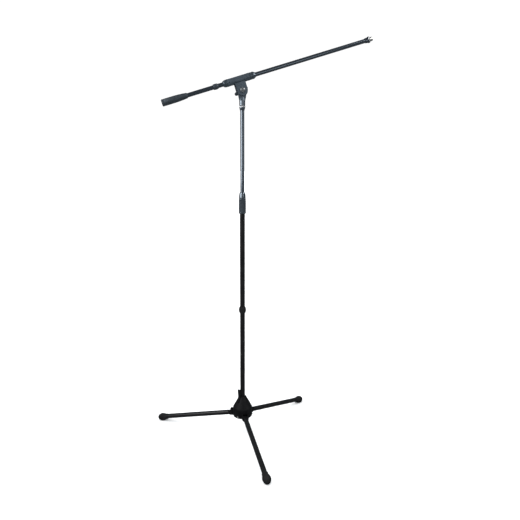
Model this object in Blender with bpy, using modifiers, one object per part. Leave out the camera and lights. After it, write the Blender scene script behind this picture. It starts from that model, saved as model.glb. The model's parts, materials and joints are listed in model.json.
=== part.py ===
"""Boom microphone stand: folding tripod, telescoping pole with a twist clutch, tilting boom.

Metres, +Z up.  The pieces hang under the empty "stand", whose own frame has the pole on its Z axis
and the floor at z = 0.  The last step moves that empty so that the middle of the stand's footprint
box is the origin.  The boom points to +X.
"""
import math

import bmesh
import bpy
from mathutils import Matrix, Vector

MM = 0.001
GAP = 0.3 * MM                   # running gap between neighbouring pieces

# --- driving dimensions -------------------------------------------------------------------------
LOWER_TUBE_R = 10.0 * MM
UPPER_TUBE_R = 8.0 * MM
BOOM_R = 7.8 * MM
LEG_TUBE_R = 9.9 * MM
TUBE_WALL = 1.2 * MM
LOWER_TUBE_WALL = 1.5 * MM

FOOT_RADIUS = 368.0 * MM         # pole axis to the middle of a foot, along the floor
FOOT_MID_Z = 15.6 * MM
FOOT_R = 16.0 * MM
LEG_AZIMUTHS = [math.radians(a) for a in (35.5, 155.5, 275.5)]
LEG_PIVOT_R = 50.5 * MM
LEG_PIVOT_Z = 80.4 * MM
LEVER_AZIMUTH = math.radians(215.5)

HUB_R = 40.0 * MM
HUB_BOTTOM_Z = 73.2 * MM
HUB_SHOULDER_Z = 113.0 * MM
HUB_TOP_Z = 161.0 * MM
HUB_NECK_R = 14.0 * MM
HUB_WALL = 4.5 * MM
HUB_CEILING_Z = 152.0 * MM

LOWER_TUBE_TOP_Z = 965.0 * MM
CLUTCH_BOTTOM_Z = 926.2 * MM
CLUTCH_TOP_Z = 1008.5 * MM
CLUTCH_R = 14.0 * MM
POLE_RING_Z = 536.0 * MM

UPPER_TUBE_BOTTOM_Z = 520.0 * MM
UPPER_TUBE_TOP_Z = 1321.0 * MM
NECK_RING_Z = 1325.6 * MM        # underside of the nickel ring
NECK_RING_H = 4.4 * MM
NECK_R = 11.3 * MM

TILT_Z = 1386.8 * MM             # height of the tilt bolt
BOOM_ELEVATION = math.radians(17.85)
CLAMP_RISE = 39.2 * MM           # tilt bolt to the boom's centre line
FRONT_JAW_R = 19.7 * MM
REAR_JAW_R = 22.4 * MM
JAW_INNER = 6.0 * MM             # jaw's inner face, from the boom's vertical plane
JAW_OUTER = 12.6 * MM
TONGUE_R = 18.7 * MM
TONGUE_HALF = 4.8 * MM
BARREL_R = 13.85 * MM
BARREL_BORE_R = 9.0 * MM
BARREL_BACK = -46.8 * MM         # distances along the boom from the point above the tilt bolt
BARREL_FRONT = 39.0 * MM
CLAMP_BACK = -63.0 * MM
CLAMP_FRONT = 63.5 * MM

BOOM_BUTT = -298.0 * MM
GRIP_LENGTH = 97.1 * MM
GRIP_R = 13.0 * MM
BOOM_RING_MID = -91.5 * MM
BOOM_TUBE_BACK = -294.0 * MM
BOOM_TUBE_FRONT = 516.0 * MM
BOOM_TIP = 538.6 * MM

BOLT_R = 4.0 * MM
BOLT_HOLE_R = 4.3 * MM
STUD_R = 4.7 * MM                # 3/8 inch stud, thread crests
STUD_HOLE_R = 5.0 * MM
ADAPTER_R = 7.9 * MM             # 5/8 inch thread of the adapter
LEG_PIN_R = 3.0 * MM
HANDLE_HALF_LENGTH = 28.6 * MM
HANDLE_HALF_WIDTH = 7.5 * MM
HANDLE_TURN = math.radians(31.6)

TUBE_STEPS = 24
SMALL_STEPS = 20
PIN_STEPS = 12

# derived: the leg's slope, and the foot's place along the leg
LEG_RUN = FOOT_RADIUS - LEG_PIVOT_R
LEG_DROP = LEG_PIVOT_Z - FOOT_MID_Z
LEG_SLOPE = math.atan2(LEG_DROP, LEG_RUN)
FOOT_ALONG = math.hypot(LEG_RUN, LEG_DROP)


# --- scene, materials and placing ---------------------------------------------------------------
def clear_scene():
    for obj in list(bpy.data.objects):
        bpy.data.objects.remove(obj, do_unlink=True)


def new_collection(name):
    collection = bpy.data.collections.new(name)
    bpy.context.scene.collection.children.link(collection)
    return collection


def new_material(name, colour, roughness, metallic):
    material = bpy.data.materials.new(name)
    material.use_nodes = True
    shader = material.node_tree.nodes["Principled BSDF"]
    shader.inputs["Base Color"].default_value = (*colour, 1.0)
    shader.inputs["Roughness"].default_value = roughness
    shader.inputs["Metallic"].default_value = metallic
    return material


clear_scene()
PARTS = new_collection("boom_microphone_stand")
CUTTERS = new_collection("cutters")
BLACK_STEEL = new_material("black_steel", (0.022, 0.024, 0.028), 0.35, 0.3)
BLACK_CAST = new_material("black_cast", (0.026, 0.029, 0.034), 0.45, 0.2)
BLACK_PLASTIC = new_material("black_plastic", (0.020, 0.021, 0.024), 0.50, 0.0)
BLACK_RUBBER = new_material("black_rubber", (0.016, 0.016, 0.017), 0.75, 0.0)
NICKEL = new_material("nickel", (0.72, 0.72, 0.70), 0.22, 1.0)
SPRING_STEEL = new_material("spring_steel", (0.45, 0.45, 0.46), 0.35, 1.0)
BRASS = new_material("brass", (0.72, 0.55, 0.25), 0.35, 1.0)
FIBRE = new_material("fibre", (0.12, 0.06, 0.04), 0.80, 0.0)


def new_empty(name, parent, location, rotation=Matrix.Identity(3)):
    empty = bpy.data.objects.new(name, None)
    empty.empty_display_size = 0.02
    PARTS.objects.link(empty)
    empty.parent = parent
    empty.matrix_local = Matrix.Translation(Vector(location)) @ rotation.to_4x4()
    return empty


def add_piece(name, data, parent, material, location=(0, 0, 0), rotation=Matrix.Identity(3)):
    obj = bpy.data.objects.new(name, data)
    PARTS.objects.link(obj)
    obj.parent = parent
    obj.matrix_local = Matrix.Translation(Vector(location)) @ rotation.to_4x4()
    if material:
        data.materials.append(material)
    return obj


def turn_y(angle):
    return Matrix.Rotation(angle, 3, "Y")


def turn_z(angle):
    return Matrix.Rotation(angle, 3, "Z")


ALONG_Y = Matrix.Rotation(-math.pi / 2, 3, "X")      # a piece turned about its Z then lies along +Y
UPRIGHT = Matrix.Rotation(math.pi / 2, 3, "X")       # a flat outline's Y becomes the frame's Z


# --- shapes -------------------------------------------------------------------------------------
def turned(name, profile, parent, material, steps=TUBE_STEPS, location=(0, 0, 0),
           rotation=Matrix.Identity(3)):
    """A piece turned about Z.  The (radius, height) profile runs down its outer side; one that
    never meets the axis is closed into a ring."""
    mesh = bpy.data.meshes.new(name)
    edges = [(i, i + 1) for i in range(len(profile) - 1)]
    if min(radius for radius, height in profile) > 0:
        edges.append((len(profile) - 1, 0))
    mesh.from_pydata([(radius, 0, height) for radius, height in profile], edges, [])
    obj = add_piece(name, mesh, parent, material, location, rotation)
    screw = obj.modifiers.new("turning", "SCREW")
    screw.steps = screw.render_steps = steps
    screw.use_merge_vertices = True
    screw.merge_threshold = 0.00001
    settle(obj)
    return obj


def ring(name, inner, outer, low, high, parent, material, steps=TUBE_STEPS, **place):
    profile = [(outer, high), (outer, low), (inner, low), (inner, high)]
    return turned(name, profile, parent, material, steps, **place)


def rod(name, radius, low, high, parent, material, steps=PIN_STEPS, **place):
    profile = [(0, high), (radius, high), (radius, low), (0, low)]
    return turned(name, profile, parent, material, steps, **place)


def plate(name, outline, thickness, parent, material, location=(0, 0, 0),
          rotation=Matrix.Identity(3)):
    """A flat outline in the local XY plane, thick along Z, half to each side of its location."""
    curve = bpy.data.curves.new(name, "CURVE")
    curve.dimensions = "2D"
    curve.fill_mode = "BOTH"
    curve.extrude = thickness / 2
    spline = curve.splines.new("POLY")
    spline.points.add(len(outline) - 1)
    for point, (x, y) in zip(spline.points, outline):
        point.co = (x, y, 0, 1)
    spline.use_cyclic_u = True
    flat = add_piece(name + "_outline", curve, parent, material, location, rotation)
    return curve_to_mesh(flat, name)


def block(name, low, high, parent, material, location=(0, 0, 0), rotation=Matrix.Identity(3)):
    """A box between two corners of the local frame."""
    low, high = Vector(low), Vector(high)
    mesh = bpy.data.meshes.new(name)
    shape = bmesh.new()
    bmesh.ops.create_cube(shape, size=1.0)
    bmesh.ops.scale(shape, vec=high - low, verts=shape.verts)
    bmesh.ops.translate(shape, vec=(high + low) / 2, verts=shape.verts)
    shape.to_mesh(mesh)
    shape.free()
    return add_piece(name, mesh, parent, material, location, rotation)


def arc(centre, radius, start, end, points):
    """Points on an arc, both ends included; angles in degrees."""
    angles = [math.radians(start + (end - start) * i / (points - 1)) for i in range(points)]
    return [(centre[0] + radius * math.cos(a), centre[1] + radius * math.sin(a)) for a in angles]


def curve_to_mesh(curve_object, name):
    """Gives a curve's solid as a mesh object in the same place, with its caps welded."""
    bpy.context.view_layer.update()
    depsgraph = bpy.context.evaluated_depsgraph_get()
    mesh = bpy.data.meshes.new_from_object(curve_object.evaluated_get(depsgraph))
    shape = bmesh.new()
    shape.from_mesh(mesh)
    bmesh.ops.remove_doubles(shape, verts=shape.verts, dist=0.00001)
    bmesh.ops.recalc_face_normals(shape, faces=shape.faces)
    shape.to_mesh(mesh)
    shape.free()
    mesh.name = name
    obj = bpy.data.objects.new(name, mesh)
    PARTS.objects.link(obj)
    parent = curve_object.parent
    matrix = curve_object.matrix_world.copy()
    bpy.data.objects.remove(curve_object, do_unlink=True)
    obj.parent = parent
    obj.matrix_world = matrix
    return obj


def settle(obj):
    """Replaces the object's mesh by what its modifiers make of it, shaded smooth."""
    bpy.context.view_layer.update()
    depsgraph = bpy.context.evaluated_depsgraph_get()
    mesh = bpy.data.meshes.new_from_object(obj.evaluated_get(depsgraph))
    obj.modifiers.clear()
    old, name = obj.data, obj.name
    obj.data = mesh
    bpy.data.meshes.remove(old)
    mesh.name = name
    mesh.shade_smooth()
    mesh.set_sharp_from_angle(angle=math.radians(35))


def apply_boolean(obj, tool, operation):
    PARTS.objects.unlink(tool)
    CUTTERS.objects.link(tool)
    tool.display_type = "WIRE"
    tool.hide_render = True
    boolean = obj.modifiers.new(operation.lower(), "BOOLEAN")
    boolean.operation = operation
    boolean.solver = "EXACT"
    boolean.object = tool
    settle(obj)
    bpy.data.objects.remove(tool, do_unlink=True)


def cut(obj, tool):
    apply_boolean(obj, tool, "DIFFERENCE")


def join(obj, tool):
    apply_boolean(obj, tool, "UNION")


# --- tripod hub ---------------------------------------------------------------------------------
EAR_INNER = 10.4 * MM            # ears flank a leg, this far from its middle plane
EAR_OUTER = 12.6 * MM
EAR_REACH = 58.0 * MM
EAR_TOP_Z = 96.5 * MM
LEG_PIN_HOLE_R = LEG_PIN_R + 0.25 * MM
LEVER_PIVOT = (20.0 * MM, 143.5 * MM)    # radius and height
LEVER_INNER = 15.0 * MM
LEVER_OUTER = 25.2 * MM
LEVER_TOP_Z = 195.0 * MM
LEVER_PIN_R = 1.5 * MM
LEVER_HALF = 4.0 * MM
HUB_SCREW_Z = 80.5 * MM
HUB_SCREW_R = 1.5 * MM
HUB_SCREW_TURN = math.radians(75.5)  # from a leg to the next screw in the skirt
PLATE_TOP_Z = 78.0 * MM
PLATE_R = HUB_R - HUB_WALL - GAP


def hub_cover(stand):
    """Cone with a straight skirt, three windows for the leg ends, ears beside them, lever slot."""
    fillet = 3.5 * MM
    ceiling_r = HUB_NECK_R + (HUB_TOP_Z - HUB_CEILING_Z) * (HUB_R - HUB_NECK_R) \
        / (HUB_TOP_Z - HUB_SHOULDER_Z) - HUB_WALL
    bore = LOWER_TUBE_R + GAP
    profile = [(HUB_NECK_R, HUB_TOP_Z), (HUB_R, HUB_SHOULDER_Z)]
    profile += arc((HUB_R - fillet, HUB_BOTTOM_Z + fillet), fillet, 0, -90, 4)
    profile += [(HUB_R - HUB_WALL, HUB_BOTTOM_Z), (HUB_R - HUB_WALL, HUB_SHOULDER_Z),
                (ceiling_r, HUB_CEILING_Z), (bore, HUB_CEILING_Z), (bore, HUB_TOP_Z)]
    cover = turned("hub_cover", profile, stand, BLACK_CAST, steps=36)
    for azimuth in LEG_AZIMUTHS:
        for side in (-1, 1):
            join(cover, hub_ear(stand, azimuth, side))
    for azimuth in LEG_AZIMUTHS:
        cut(cover, leg_window(stand, azimuth))
        cut(cover, rod("pin_hole", LEG_PIN_HOLE_R, -20 * MM, 20 * MM, stand, None,
                       location=turn_z(azimuth) @ Vector((LEG_PIVOT_R, 0, LEG_PIVOT_Z)),
                       rotation=turn_z(azimuth) @ ALONG_Y))
        cut(cover, screw_hole(stand, azimuth + HUB_SCREW_TURN))
    slot = LEVER_HALF + GAP
    slot_low = (HUB_NECK_R + GAP, -slot, LEVER_PIVOT[1] - 6 * MM)
    slot_high = (HUB_R, slot, HUB_TOP_Z + 5 * MM)
    cut(cover, block("lever_slot", slot_low, slot_high, stand, None,
                     rotation=turn_z(LEVER_AZIMUTH)))
    cut(cover, rod("lever_pin_hole", LEVER_PIN_R + 0.2 * MM, -9 * MM, 9 * MM, stand, None,
                   location=turn_z(LEVER_AZIMUTH) @ Vector((LEVER_PIVOT[0], 0, LEVER_PIVOT[1])),
                   rotation=turn_z(LEVER_AZIMUTH) @ ALONG_Y))
    return cover


def hub_ear(stand, azimuth, side):
    """One upright ear, outlined in radius and height."""
    top_round, bottom_round = 7.0 * MM, 9.0 * MM
    inner = HUB_R - 3.0 * MM
    outline = [(inner, HUB_BOTTOM_Z)]
    outline += arc((EAR_REACH - bottom_round, HUB_BOTTOM_Z + bottom_round), bottom_round, -90, 0, 4)
    outline += arc((EAR_REACH - top_round, EAR_TOP_Z - top_round), top_round, 0, 90, 5)
    outline += [(inner, EAR_TOP_Z)]
    allowance = 0.4 * MM                     # taken off again by the leg's window
    middle = side * (EAR_INNER - allowance + EAR_OUTER) / 2
    return plate("ear", outline, EAR_OUTER - EAR_INNER + allowance, stand, None,
                 location=turn_z(azimuth) @ Vector((0, middle, 0)),
                 rotation=turn_z(azimuth) @ UPRIGHT)


def leg_window(stand, azimuth):
    """Cutter for a leg's way: a window in the skirt, and the whole height between the ears."""
    inside, outside, skirt = 30 * MM, 70 * MM, HUB_R + 0.8 * MM
    bottom, window_top, ears_top = 70 * MM, 93 * MM, 100 * MM
    outline = [(inside, bottom), (outside, bottom), (outside, ears_top), (skirt, ears_top),
               (skirt, window_top), (inside, window_top)]
    return plate("window", outline, 2 * EAR_INNER, stand, None,
                 rotation=turn_z(azimuth) @ UPRIGHT)


def screw_hole(stand, azimuth):
    """A radial hole through the skirt into the base plate's block."""
    place = Matrix.Rotation(azimuth, 3, "Z") @ turn_y(math.pi / 2)
    return rod("screw_hole", HUB_SCREW_R + 0.25 * MM, 28.5 * MM, 45 * MM, stand, None,
               location=(0, 0, HUB_SCREW_Z), rotation=place)


def hub_base_plate(stand):
    """Round floor of the hub, with a boss in the pole and three blocks for the side screws."""
    boss_r, boss_top = 8.2 * MM, 95.0 * MM
    profile = [(0, boss_top), (boss_r, boss_top), (boss_r, PLATE_TOP_Z), (PLATE_R, PLATE_TOP_Z),
               (PLATE_R, HUB_BOTTOM_Z + GAP), (0, HUB_BOTTOM_Z + GAP)]
    base = turned("hub_base_plate", profile, stand, BLACK_CAST)
    block_low = (28.5 * MM, -5 * MM, PLATE_TOP_Z - 1 * MM)
    block_high = (34.5 * MM, 5 * MM, 87 * MM)
    for azimuth in LEG_AZIMUTHS:
        facing = turn_z(azimuth + HUB_SCREW_TURN)
        join(base, block("screw_block", block_low, block_high, stand, None, rotation=facing))
        cut(base, screw_hole(stand, azimuth + HUB_SCREW_TURN))
    cut(base, rod("screw_bore", 3.3 * MM, 70 * MM, 92 * MM, stand, None))
    return base


def base_screw(stand):
    """Pan-head screw that holds the base plate to the pole's lower end."""
    head_top = HUB_BOTTOM_Z
    profile = [(0, 91 * MM), (3 * MM, 91 * MM), (3 * MM, head_top), (7 * MM, head_top),
               (7 * MM, head_top - 2.5 * MM), (5 * MM, head_top - 4.2 * MM),
               (0, head_top - 4.5 * MM)]
    return turned("base_screw", profile, stand, NICKEL, SMALL_STEPS)


def hub_screw(stand, number, azimuth):
    """Button-head screw through the skirt; its axis is radial."""
    head, radius, inner_end = HUB_R + 0.2 * MM, 3.1 * MM, 29 * MM
    profile = [(0, head + 2.1 * MM), (0.6 * radius, head + 1.8 * MM), (radius, head + 0.8 * MM),
               (radius, head), (HUB_SCREW_R, head), (HUB_SCREW_R, inner_end), (0, inner_end)]
    return turned(f"hub_screw_{number}", profile, stand, NICKEL, PIN_STEPS,
                  location=(0, 0, HUB_SCREW_Z), rotation=turn_z(azimuth) @ turn_y(math.pi / 2))


def lock_sleeve(stand):
    """Sprung sleeve on the pole: a flange for the lever's toe, a disc with a finger to each leg."""
    bore, body = LOWER_TUBE_R + 0.6 * MM, 13.0 * MM
    flange, disc, finger = 15.5 * MM, 27.0 * MM, 39.9 * MM
    low, disc_top = 79.5 * MM, 84.0 * MM
    flange_low, flange_top = 143.0 * MM, 145.5 * MM
    frame = new_empty("lock_axis", stand, (0, 0, low))
    profile = [(flange, flange_top), (flange, flange_low), (body, flange_low), (body, disc_top),
               (disc, disc_top), (disc, low), (bore, low), (bore, flange_top)]
    profile = [(radius, height - low) for radius, height in profile]
    sleeve = turned("lock_sleeve", profile, frame, BLACK_PLASTIC)
    for azimuth in LEG_AZIMUTHS:
        join(sleeve, block("finger", (20 * MM, -7 * MM, 0), (finger, 7 * MM, disc_top - low),
                           frame, None, rotation=turn_z(azimuth)))
    return sleeve


def lock_spring(stand):
    """Compression spring between the sleeve's flange and the hub's ceiling."""
    turns, per_turn, wire, mean = 3, 14, 0.6 * MM, 12.6 * MM
    low, high = 146.4 * MM, 151.1 * MM
    curve = bpy.data.curves.new("lock_spring", "CURVE")
    curve.dimensions = "3D"
    curve.bevel_depth = wire
    curve.bevel_resolution = 1
    curve.use_fill_caps = True
    spline = curve.splines.new("POLY")
    count = turns * per_turn + 1
    spline.points.add(count - 1)
    for i, point in enumerate(spline.points):
        angle = 2 * math.pi * i / per_turn
        height = low + (high - low) * i / (count - 1)
        point.co = (mean * math.cos(angle), mean * math.sin(angle), height, 1)
    coil = add_piece("lock_spring_path", curve, stand, SPRING_STEEL)
    return curve_to_mesh(coil, "lock_spring")


def release_lever(stand):
    """Flat lever beside the pole: its toe lifts the lock sleeve as its top is pulled outward."""
    frame = new_empty("lever_axis", stand,
                      turn_z(LEVER_AZIMUTH) @ Vector((LEVER_PIVOT[0], 0, LEVER_PIVOT[1])),
                      turn_z(LEVER_AZIMUTH))
    tip = (LEVER_OUTER - LEVER_INNER) / 2
    outline = [(14.6 * MM, 142.7 * MM), (16.3 * MM, 142.7 * MM), (16.3 * MM, 151.5 * MM),
               (14.8 * MM, 157 * MM)]
    outline += arc((LEVER_INNER + tip, LEVER_TOP_Z - tip), tip, 180, 0, 7)
    outline += [(22.4 * MM, 168 * MM), (23.5 * MM, 150 * MM)]
    outline += arc(LEVER_PIVOT, 3.6 * MM, 0, -120, 5)
    outline += [(14.6 * MM, 140.2 * MM)]
    outline = [(x - LEVER_PIVOT[0], z - LEVER_PIVOT[1]) for x, z in outline]
    lever = plate("release_lever", outline, 2 * LEVER_HALF, frame, BLACK_PLASTIC, rotation=UPRIGHT)
    cut(lever, rod("pivot_bore", LEVER_PIN_R + 0.25 * MM, -10 * MM, 10 * MM, frame, None,
                   rotation=ALONG_Y))
    rod("lever_pin", LEVER_PIN_R, -8.2 * MM, 8.2 * MM, frame, NICKEL, rotation=ALONG_Y)
    return lever


# --- legs ---------------------------------------------------------------------------------------
ROOT_COLLAR = 10.0 * MM
ROOT_R = 9.8 * MM
FOOT_START = FOOT_ALONG - 24.5 * MM
FOOT_END = FOOT_ALONG + 21.0 * MM


def leg_frame(stand, number, azimuth):
    """An empty on the leg's pin: Z runs outward along the leg, Y along the pin."""
    place = turn_z(azimuth) @ Vector((LEG_PIVOT_R, 0, LEG_PIVOT_Z))
    return new_empty(f"leg_axis_{number}", stand, place,
                     turn_z(azimuth) @ turn_y(math.pi / 2 + LEG_SLOPE))


def leg_pin(frame, number):
    head, shank, end = 4.6 * MM, EAR_OUTER + 0.25 * MM, 13.8 * MM
    profile = [(0, end), (3.4 * MM, end), (head, end - 0.9 * MM), (head, shank),
               (LEG_PIN_R, shank), (LEG_PIN_R, -shank), (head, -shank), (head, 0.9 * MM - end),
               (3.4 * MM, -end), (0, -end)]
    return turned(f"leg_pin_{number}", profile, frame, BLACK_STEEL, PIN_STEPS, rotation=ALONG_Y)


def leg_root(frame, number):
    """Cast eye on the pin, with a plug that the leg tube is pressed over."""
    half_width, plug_end = 9.9 * MM, 34.0 * MM
    plug = LEG_TUBE_R - TUBE_WALL - 0.25 * MM
    profile = [(0, plug_end), (plug - 1 * MM, plug_end), (plug, plug_end - 1.5 * MM),
               (plug, ROOT_COLLAR), (ROOT_R, ROOT_COLLAR), (ROOT_R, 0), (0, 0)]
    root = turned(f"leg_root_{number}", profile, frame, BLACK_CAST, SMALL_STEPS)
    join(root, rod("eye", ROOT_R, -half_width, half_width, frame, None, steps=SMALL_STEPS,
                   rotation=ALONG_Y))
    cut(root, rod("bore", LEG_PIN_R + 0.3 * MM, -20 * MM, 20 * MM, frame, None, rotation=ALONG_Y))
    return root


def leg_tube(frame, number):
    return ring(f"leg_tube_{number}", LEG_TUBE_R - TUBE_WALL, LEG_TUBE_R, ROOT_COLLAR + GAP,
                FOOT_ALONG + 8 * MM, frame, BLACK_STEEL, SMALL_STEPS)


def leg_foot(stand, frame, number):
    """Rubber bulb pushed over the leg's end, fuller below and flat where it meets the floor."""
    bore, neck, widest = LEG_TUBE_R + GAP, 11.6 * MM, FOOT_ALONG - 1.0 * MM
    socket_end, drop = FOOT_ALONG + 8.5 * MM, 1.2 * MM
    reach = FOOT_END - widest
    profile = [(0, FOOT_END)]
    for i in range(1, 7):
        angle = math.pi / 2 * i / 6
        profile.append((FOOT_R * math.sin(angle), widest + reach * math.cos(angle)))
    for i in range(1, 6):
        share = i / 5
        swell = (1 + math.cos(math.pi * share)) / 2
        profile.append((neck + (FOOT_R - neck) * swell, widest - (widest - FOOT_START) * share))
    profile.append((0, FOOT_START))
    foot = turned(f"leg_foot_{number}", profile, frame, BLACK_RUBBER, SMALL_STEPS,
                  location=(drop, 0, 0))
    cut(foot, rod("socket", bore, FOOT_START - 10 * MM, socket_end, frame, None,
                  steps=SMALL_STEPS))
    cut(foot, block("floor", (-1, -1, -0.1), (1, 1, 0), stand, None))
    return foot


# --- pole ---------------------------------------------------------------------------------------
def barrel_ring(name, bore, radius, middle, half, parent):
    """Rubber cable ring with rounded flanks."""
    profile = [(bore + 0.8 * MM, middle + half), (radius - 0.6 * MM, middle + half * 0.55),
               (radius, middle + half * 0.25), (radius, middle - half * 0.25),
               (radius - 0.6 * MM, middle - half * 0.55), (bore + 0.8 * MM, middle - half),
               (bore, middle - half), (bore, middle + half)]
    return turned(name, profile, parent, BLACK_RUBBER)


def pole_pieces(stand):
    bore = LOWER_TUBE_R - LOWER_TUBE_WALL
    ring("lower_tube", bore, LOWER_TUBE_R, PLATE_TOP_Z + GAP, LOWER_TUBE_TOP_Z, stand, BLACK_STEEL)
    frame = new_empty("pole_ring_axis", stand, (0, 0, POLE_RING_Z))
    barrel_ring("pole_cable_ring", LOWER_TUBE_R + GAP, 14.5 * MM, 0, 13.4 * MM, frame)
    ring("clutch_ferrule", LOWER_TUBE_R + GAP, 11.2 * MM, 929 * MM, LOWER_TUBE_TOP_Z + 1.5 * MM,
         stand, BLACK_CAST)


def clutch_pieces(stand):
    """Twist sleeve with its rubber grip, and the tapered collet that it squeezes on the tube."""
    collet_bore, collet_low, collet_top = UPPER_TUBE_R + GAP, 967.6 * MM, 1001.0 * MM
    grip_low, grip_top, step = 930.5 * MM, 978.0 * MM, 12.4 * MM
    flange = 13.8 * MM
    inside = [(11.5 * MM, CLUTCH_BOTTOM_Z), (11.5 * MM, 970 * MM), (9.7 * MM, 1001.5 * MM),
              (8.4 * MM, 1001.5 * MM), (8.4 * MM, CLUTCH_TOP_Z)]
    crown = [(9.4 * MM, CLUTCH_TOP_Z), (10.6 * MM, 1007.4 * MM), (11.9 * MM, 1003 * MM),
             (12.8 * MM, 995 * MM), (13.5 * MM, 981 * MM), (13.5 * MM, grip_top)]
    skirt = [(step, grip_top), (step, grip_low), (flange, grip_low),
             (flange, CLUTCH_BOTTOM_Z + 1.3 * MM), (12.7 * MM, CLUTCH_BOTTOM_Z)]
    frame = new_empty("clutch_axis", stand, (0, 0, CLUTCH_BOTTOM_Z))
    profile = [(radius, height - CLUTCH_BOTTOM_Z) for radius, height in crown + skirt + inside]
    turned("clutch_sleeve", profile, frame, BLACK_PLASTIC)
    ring("clutch_grip", step + GAP, CLUTCH_R, grip_low + GAP - CLUTCH_BOTTOM_Z,
         grip_top - GAP - CLUTCH_BOTTOM_Z, frame, BLACK_RUBBER)
    pan = new_empty("pan_axis", stand, (0, 0, collet_low))
    height = collet_top - collet_low
    turned("clutch_collet", [(9.3 * MM, height), (11.0 * MM, 2.9 * MM), (11.0 * MM, 0),
                             (collet_bore, 0), (collet_bore, height)], pan, BLACK_PLASTIC)
    return pan


def mast_pieces(pan):
    """Upper tube with its guide, top collar and stud, and the nickel ring under the swivel."""
    base = pan.location.z
    mast = new_empty("mast_axis", pan, (0, 0, -base))
    bore = UPPER_TUBE_R - TUBE_WALL
    ring("upper_tube", bore, UPPER_TUBE_R, UPPER_TUBE_BOTTOM_Z, UPPER_TUBE_TOP_Z, mast, BLACK_STEEL)
    plug, hole = bore - 0.25 * MM, 4 * MM
    flange, flange_r = UPPER_TUBE_BOTTOM_Z - GAP, UPPER_TUBE_R + 0.2 * MM
    guide_low, guide_top = flange - 6 * MM, flange + 15 * MM
    turned("upper_tube_guide", [(flange_r, flange), (flange_r, guide_low), (hole, guide_low),
                                (hole, guide_top), (plug, guide_top), (plug, flange)],
           mast, BLACK_PLASTIC, SMALL_STEPS)
    collar_bore, collar_r, collar_foot_r = UPPER_TUBE_R + GAP, 10.8 * MM, 8.8 * MM
    collar_top, collar_low, tube_top = NECK_RING_Z - GAP, 1314.5 * MM, UPPER_TUBE_TOP_Z + GAP
    turned("tube_top_collar", [(collar_r, collar_top), (collar_r, 1322 * MM),
                               (collar_foot_r, collar_low), (collar_bore, collar_low),
                               (collar_bore, tube_top), (STUD_HOLE_R, tube_top),
                               (STUD_HOLE_R, collar_top)], mast, BLACK_PLASTIC)
    stud_low, stud_top, shank_top = 1300 * MM, 1350 * MM, UPPER_TUBE_TOP_Z - 0.2 * MM
    turned("threaded_stud", [(0, stud_top), (STUD_R, stud_top), (STUD_R, shank_top),
                             (plug, shank_top), (plug, stud_low), (0, stud_low)],
           mast, SPRING_STEEL, SMALL_STEPS)
    ring_top, edge = NECK_RING_Z + NECK_RING_H, 0.5 * MM
    rim = NECK_R + 0.3 * MM
    turned("neck_ring", [(rim - edge, ring_top), (rim, ring_top - edge),
                         (rim, NECK_RING_Z + edge), (rim - edge, NECK_RING_Z),
                         (STUD_HOLE_R, NECK_RING_Z), (STUD_HOLE_R, ring_top)], mast, NICKEL)
    swivel_neck(mast, ring_top + GAP)
    return mast


def swivel_neck(mast, foot):
    """Stand-side casting: a round socket that spreads into a flat round tongue."""
    shoulder, blend_top = 1351 * MM, 1368 * MM
    profile = [(0, blend_top), (TONGUE_HALF * 0.8, blend_top), (NECK_R, shoulder),
               (NECK_R, foot), (0, foot)]
    neck = turned("swivel_neck", profile, mast, BLACK_CAST)
    outline = [(-10.6 * MM, 1345 * MM), (10.6 * MM, 1345 * MM), (11.5 * MM, shoulder),
               (14.4 * MM, 1364.0 * MM)]
    outline += arc((0, TILT_Z), TONGUE_R, -36, 216, 23)
    outline += [(-14.4 * MM, 1364.0 * MM), (-11.5 * MM, shoulder)]
    join(neck, plate("tongue", outline, 2 * TONGUE_HALF, mast, None, rotation=UPRIGHT))
    cut(neck, rod("bolt_hole", BOLT_HOLE_R, -20 * MM, 20 * MM, mast, None, steps=SMALL_STEPS,
                  location=(0, 0, TILT_Z), rotation=ALONG_Y))
    cut(neck, rod("socket", STUD_HOLE_R, foot - 10 * MM, 1352 * MM, mast, None, steps=SMALL_STEPS))
    return neck


# --- swivel clamp -------------------------------------------------------------------------------
def clamp_half(boom_frame, name, side):
    """One half of the boom clamp: half a barrel and a jaw beside the tongue.

    In the boom's frame X points from the boom to the tilt bolt, Y is level and Z runs to the tip.
    """
    parting = 0.3 * MM
    jaw_r = REAR_JAW_R if side > 0 else FRONT_JAW_R
    half = ring(name, BARREL_BORE_R, BARREL_R, BARREL_BACK, BARREL_FRONT, boom_frame, BLACK_CAST)
    far = 50 * MM
    low = (-far, -far if side > 0 else -parting, -0.1)
    high = (far, parting if side > 0 else far, 0.1)
    cut(half, block("parting", low, high, boom_frame, None))
    outline = [(10.5 * MM, -jaw_r), (10.5 * MM, jaw_r)]
    outline += arc((CLAMP_RISE, 0), jaw_r, 90, -90, 17)
    jaw = plate("jaw", outline, JAW_OUTER - JAW_INNER, boom_frame, None,
                location=(0, side * (JAW_INNER + JAW_OUTER) / 2, 0), rotation=UPRIGHT)
    join(half, jaw)
    cut(half, rod("bolt_hole", BOLT_HOLE_R, -20 * MM, 20 * MM, boom_frame, None,
                  steps=SMALL_STEPS, location=(CLAMP_RISE, 0, 0), rotation=ALONG_Y))
    return half


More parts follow.
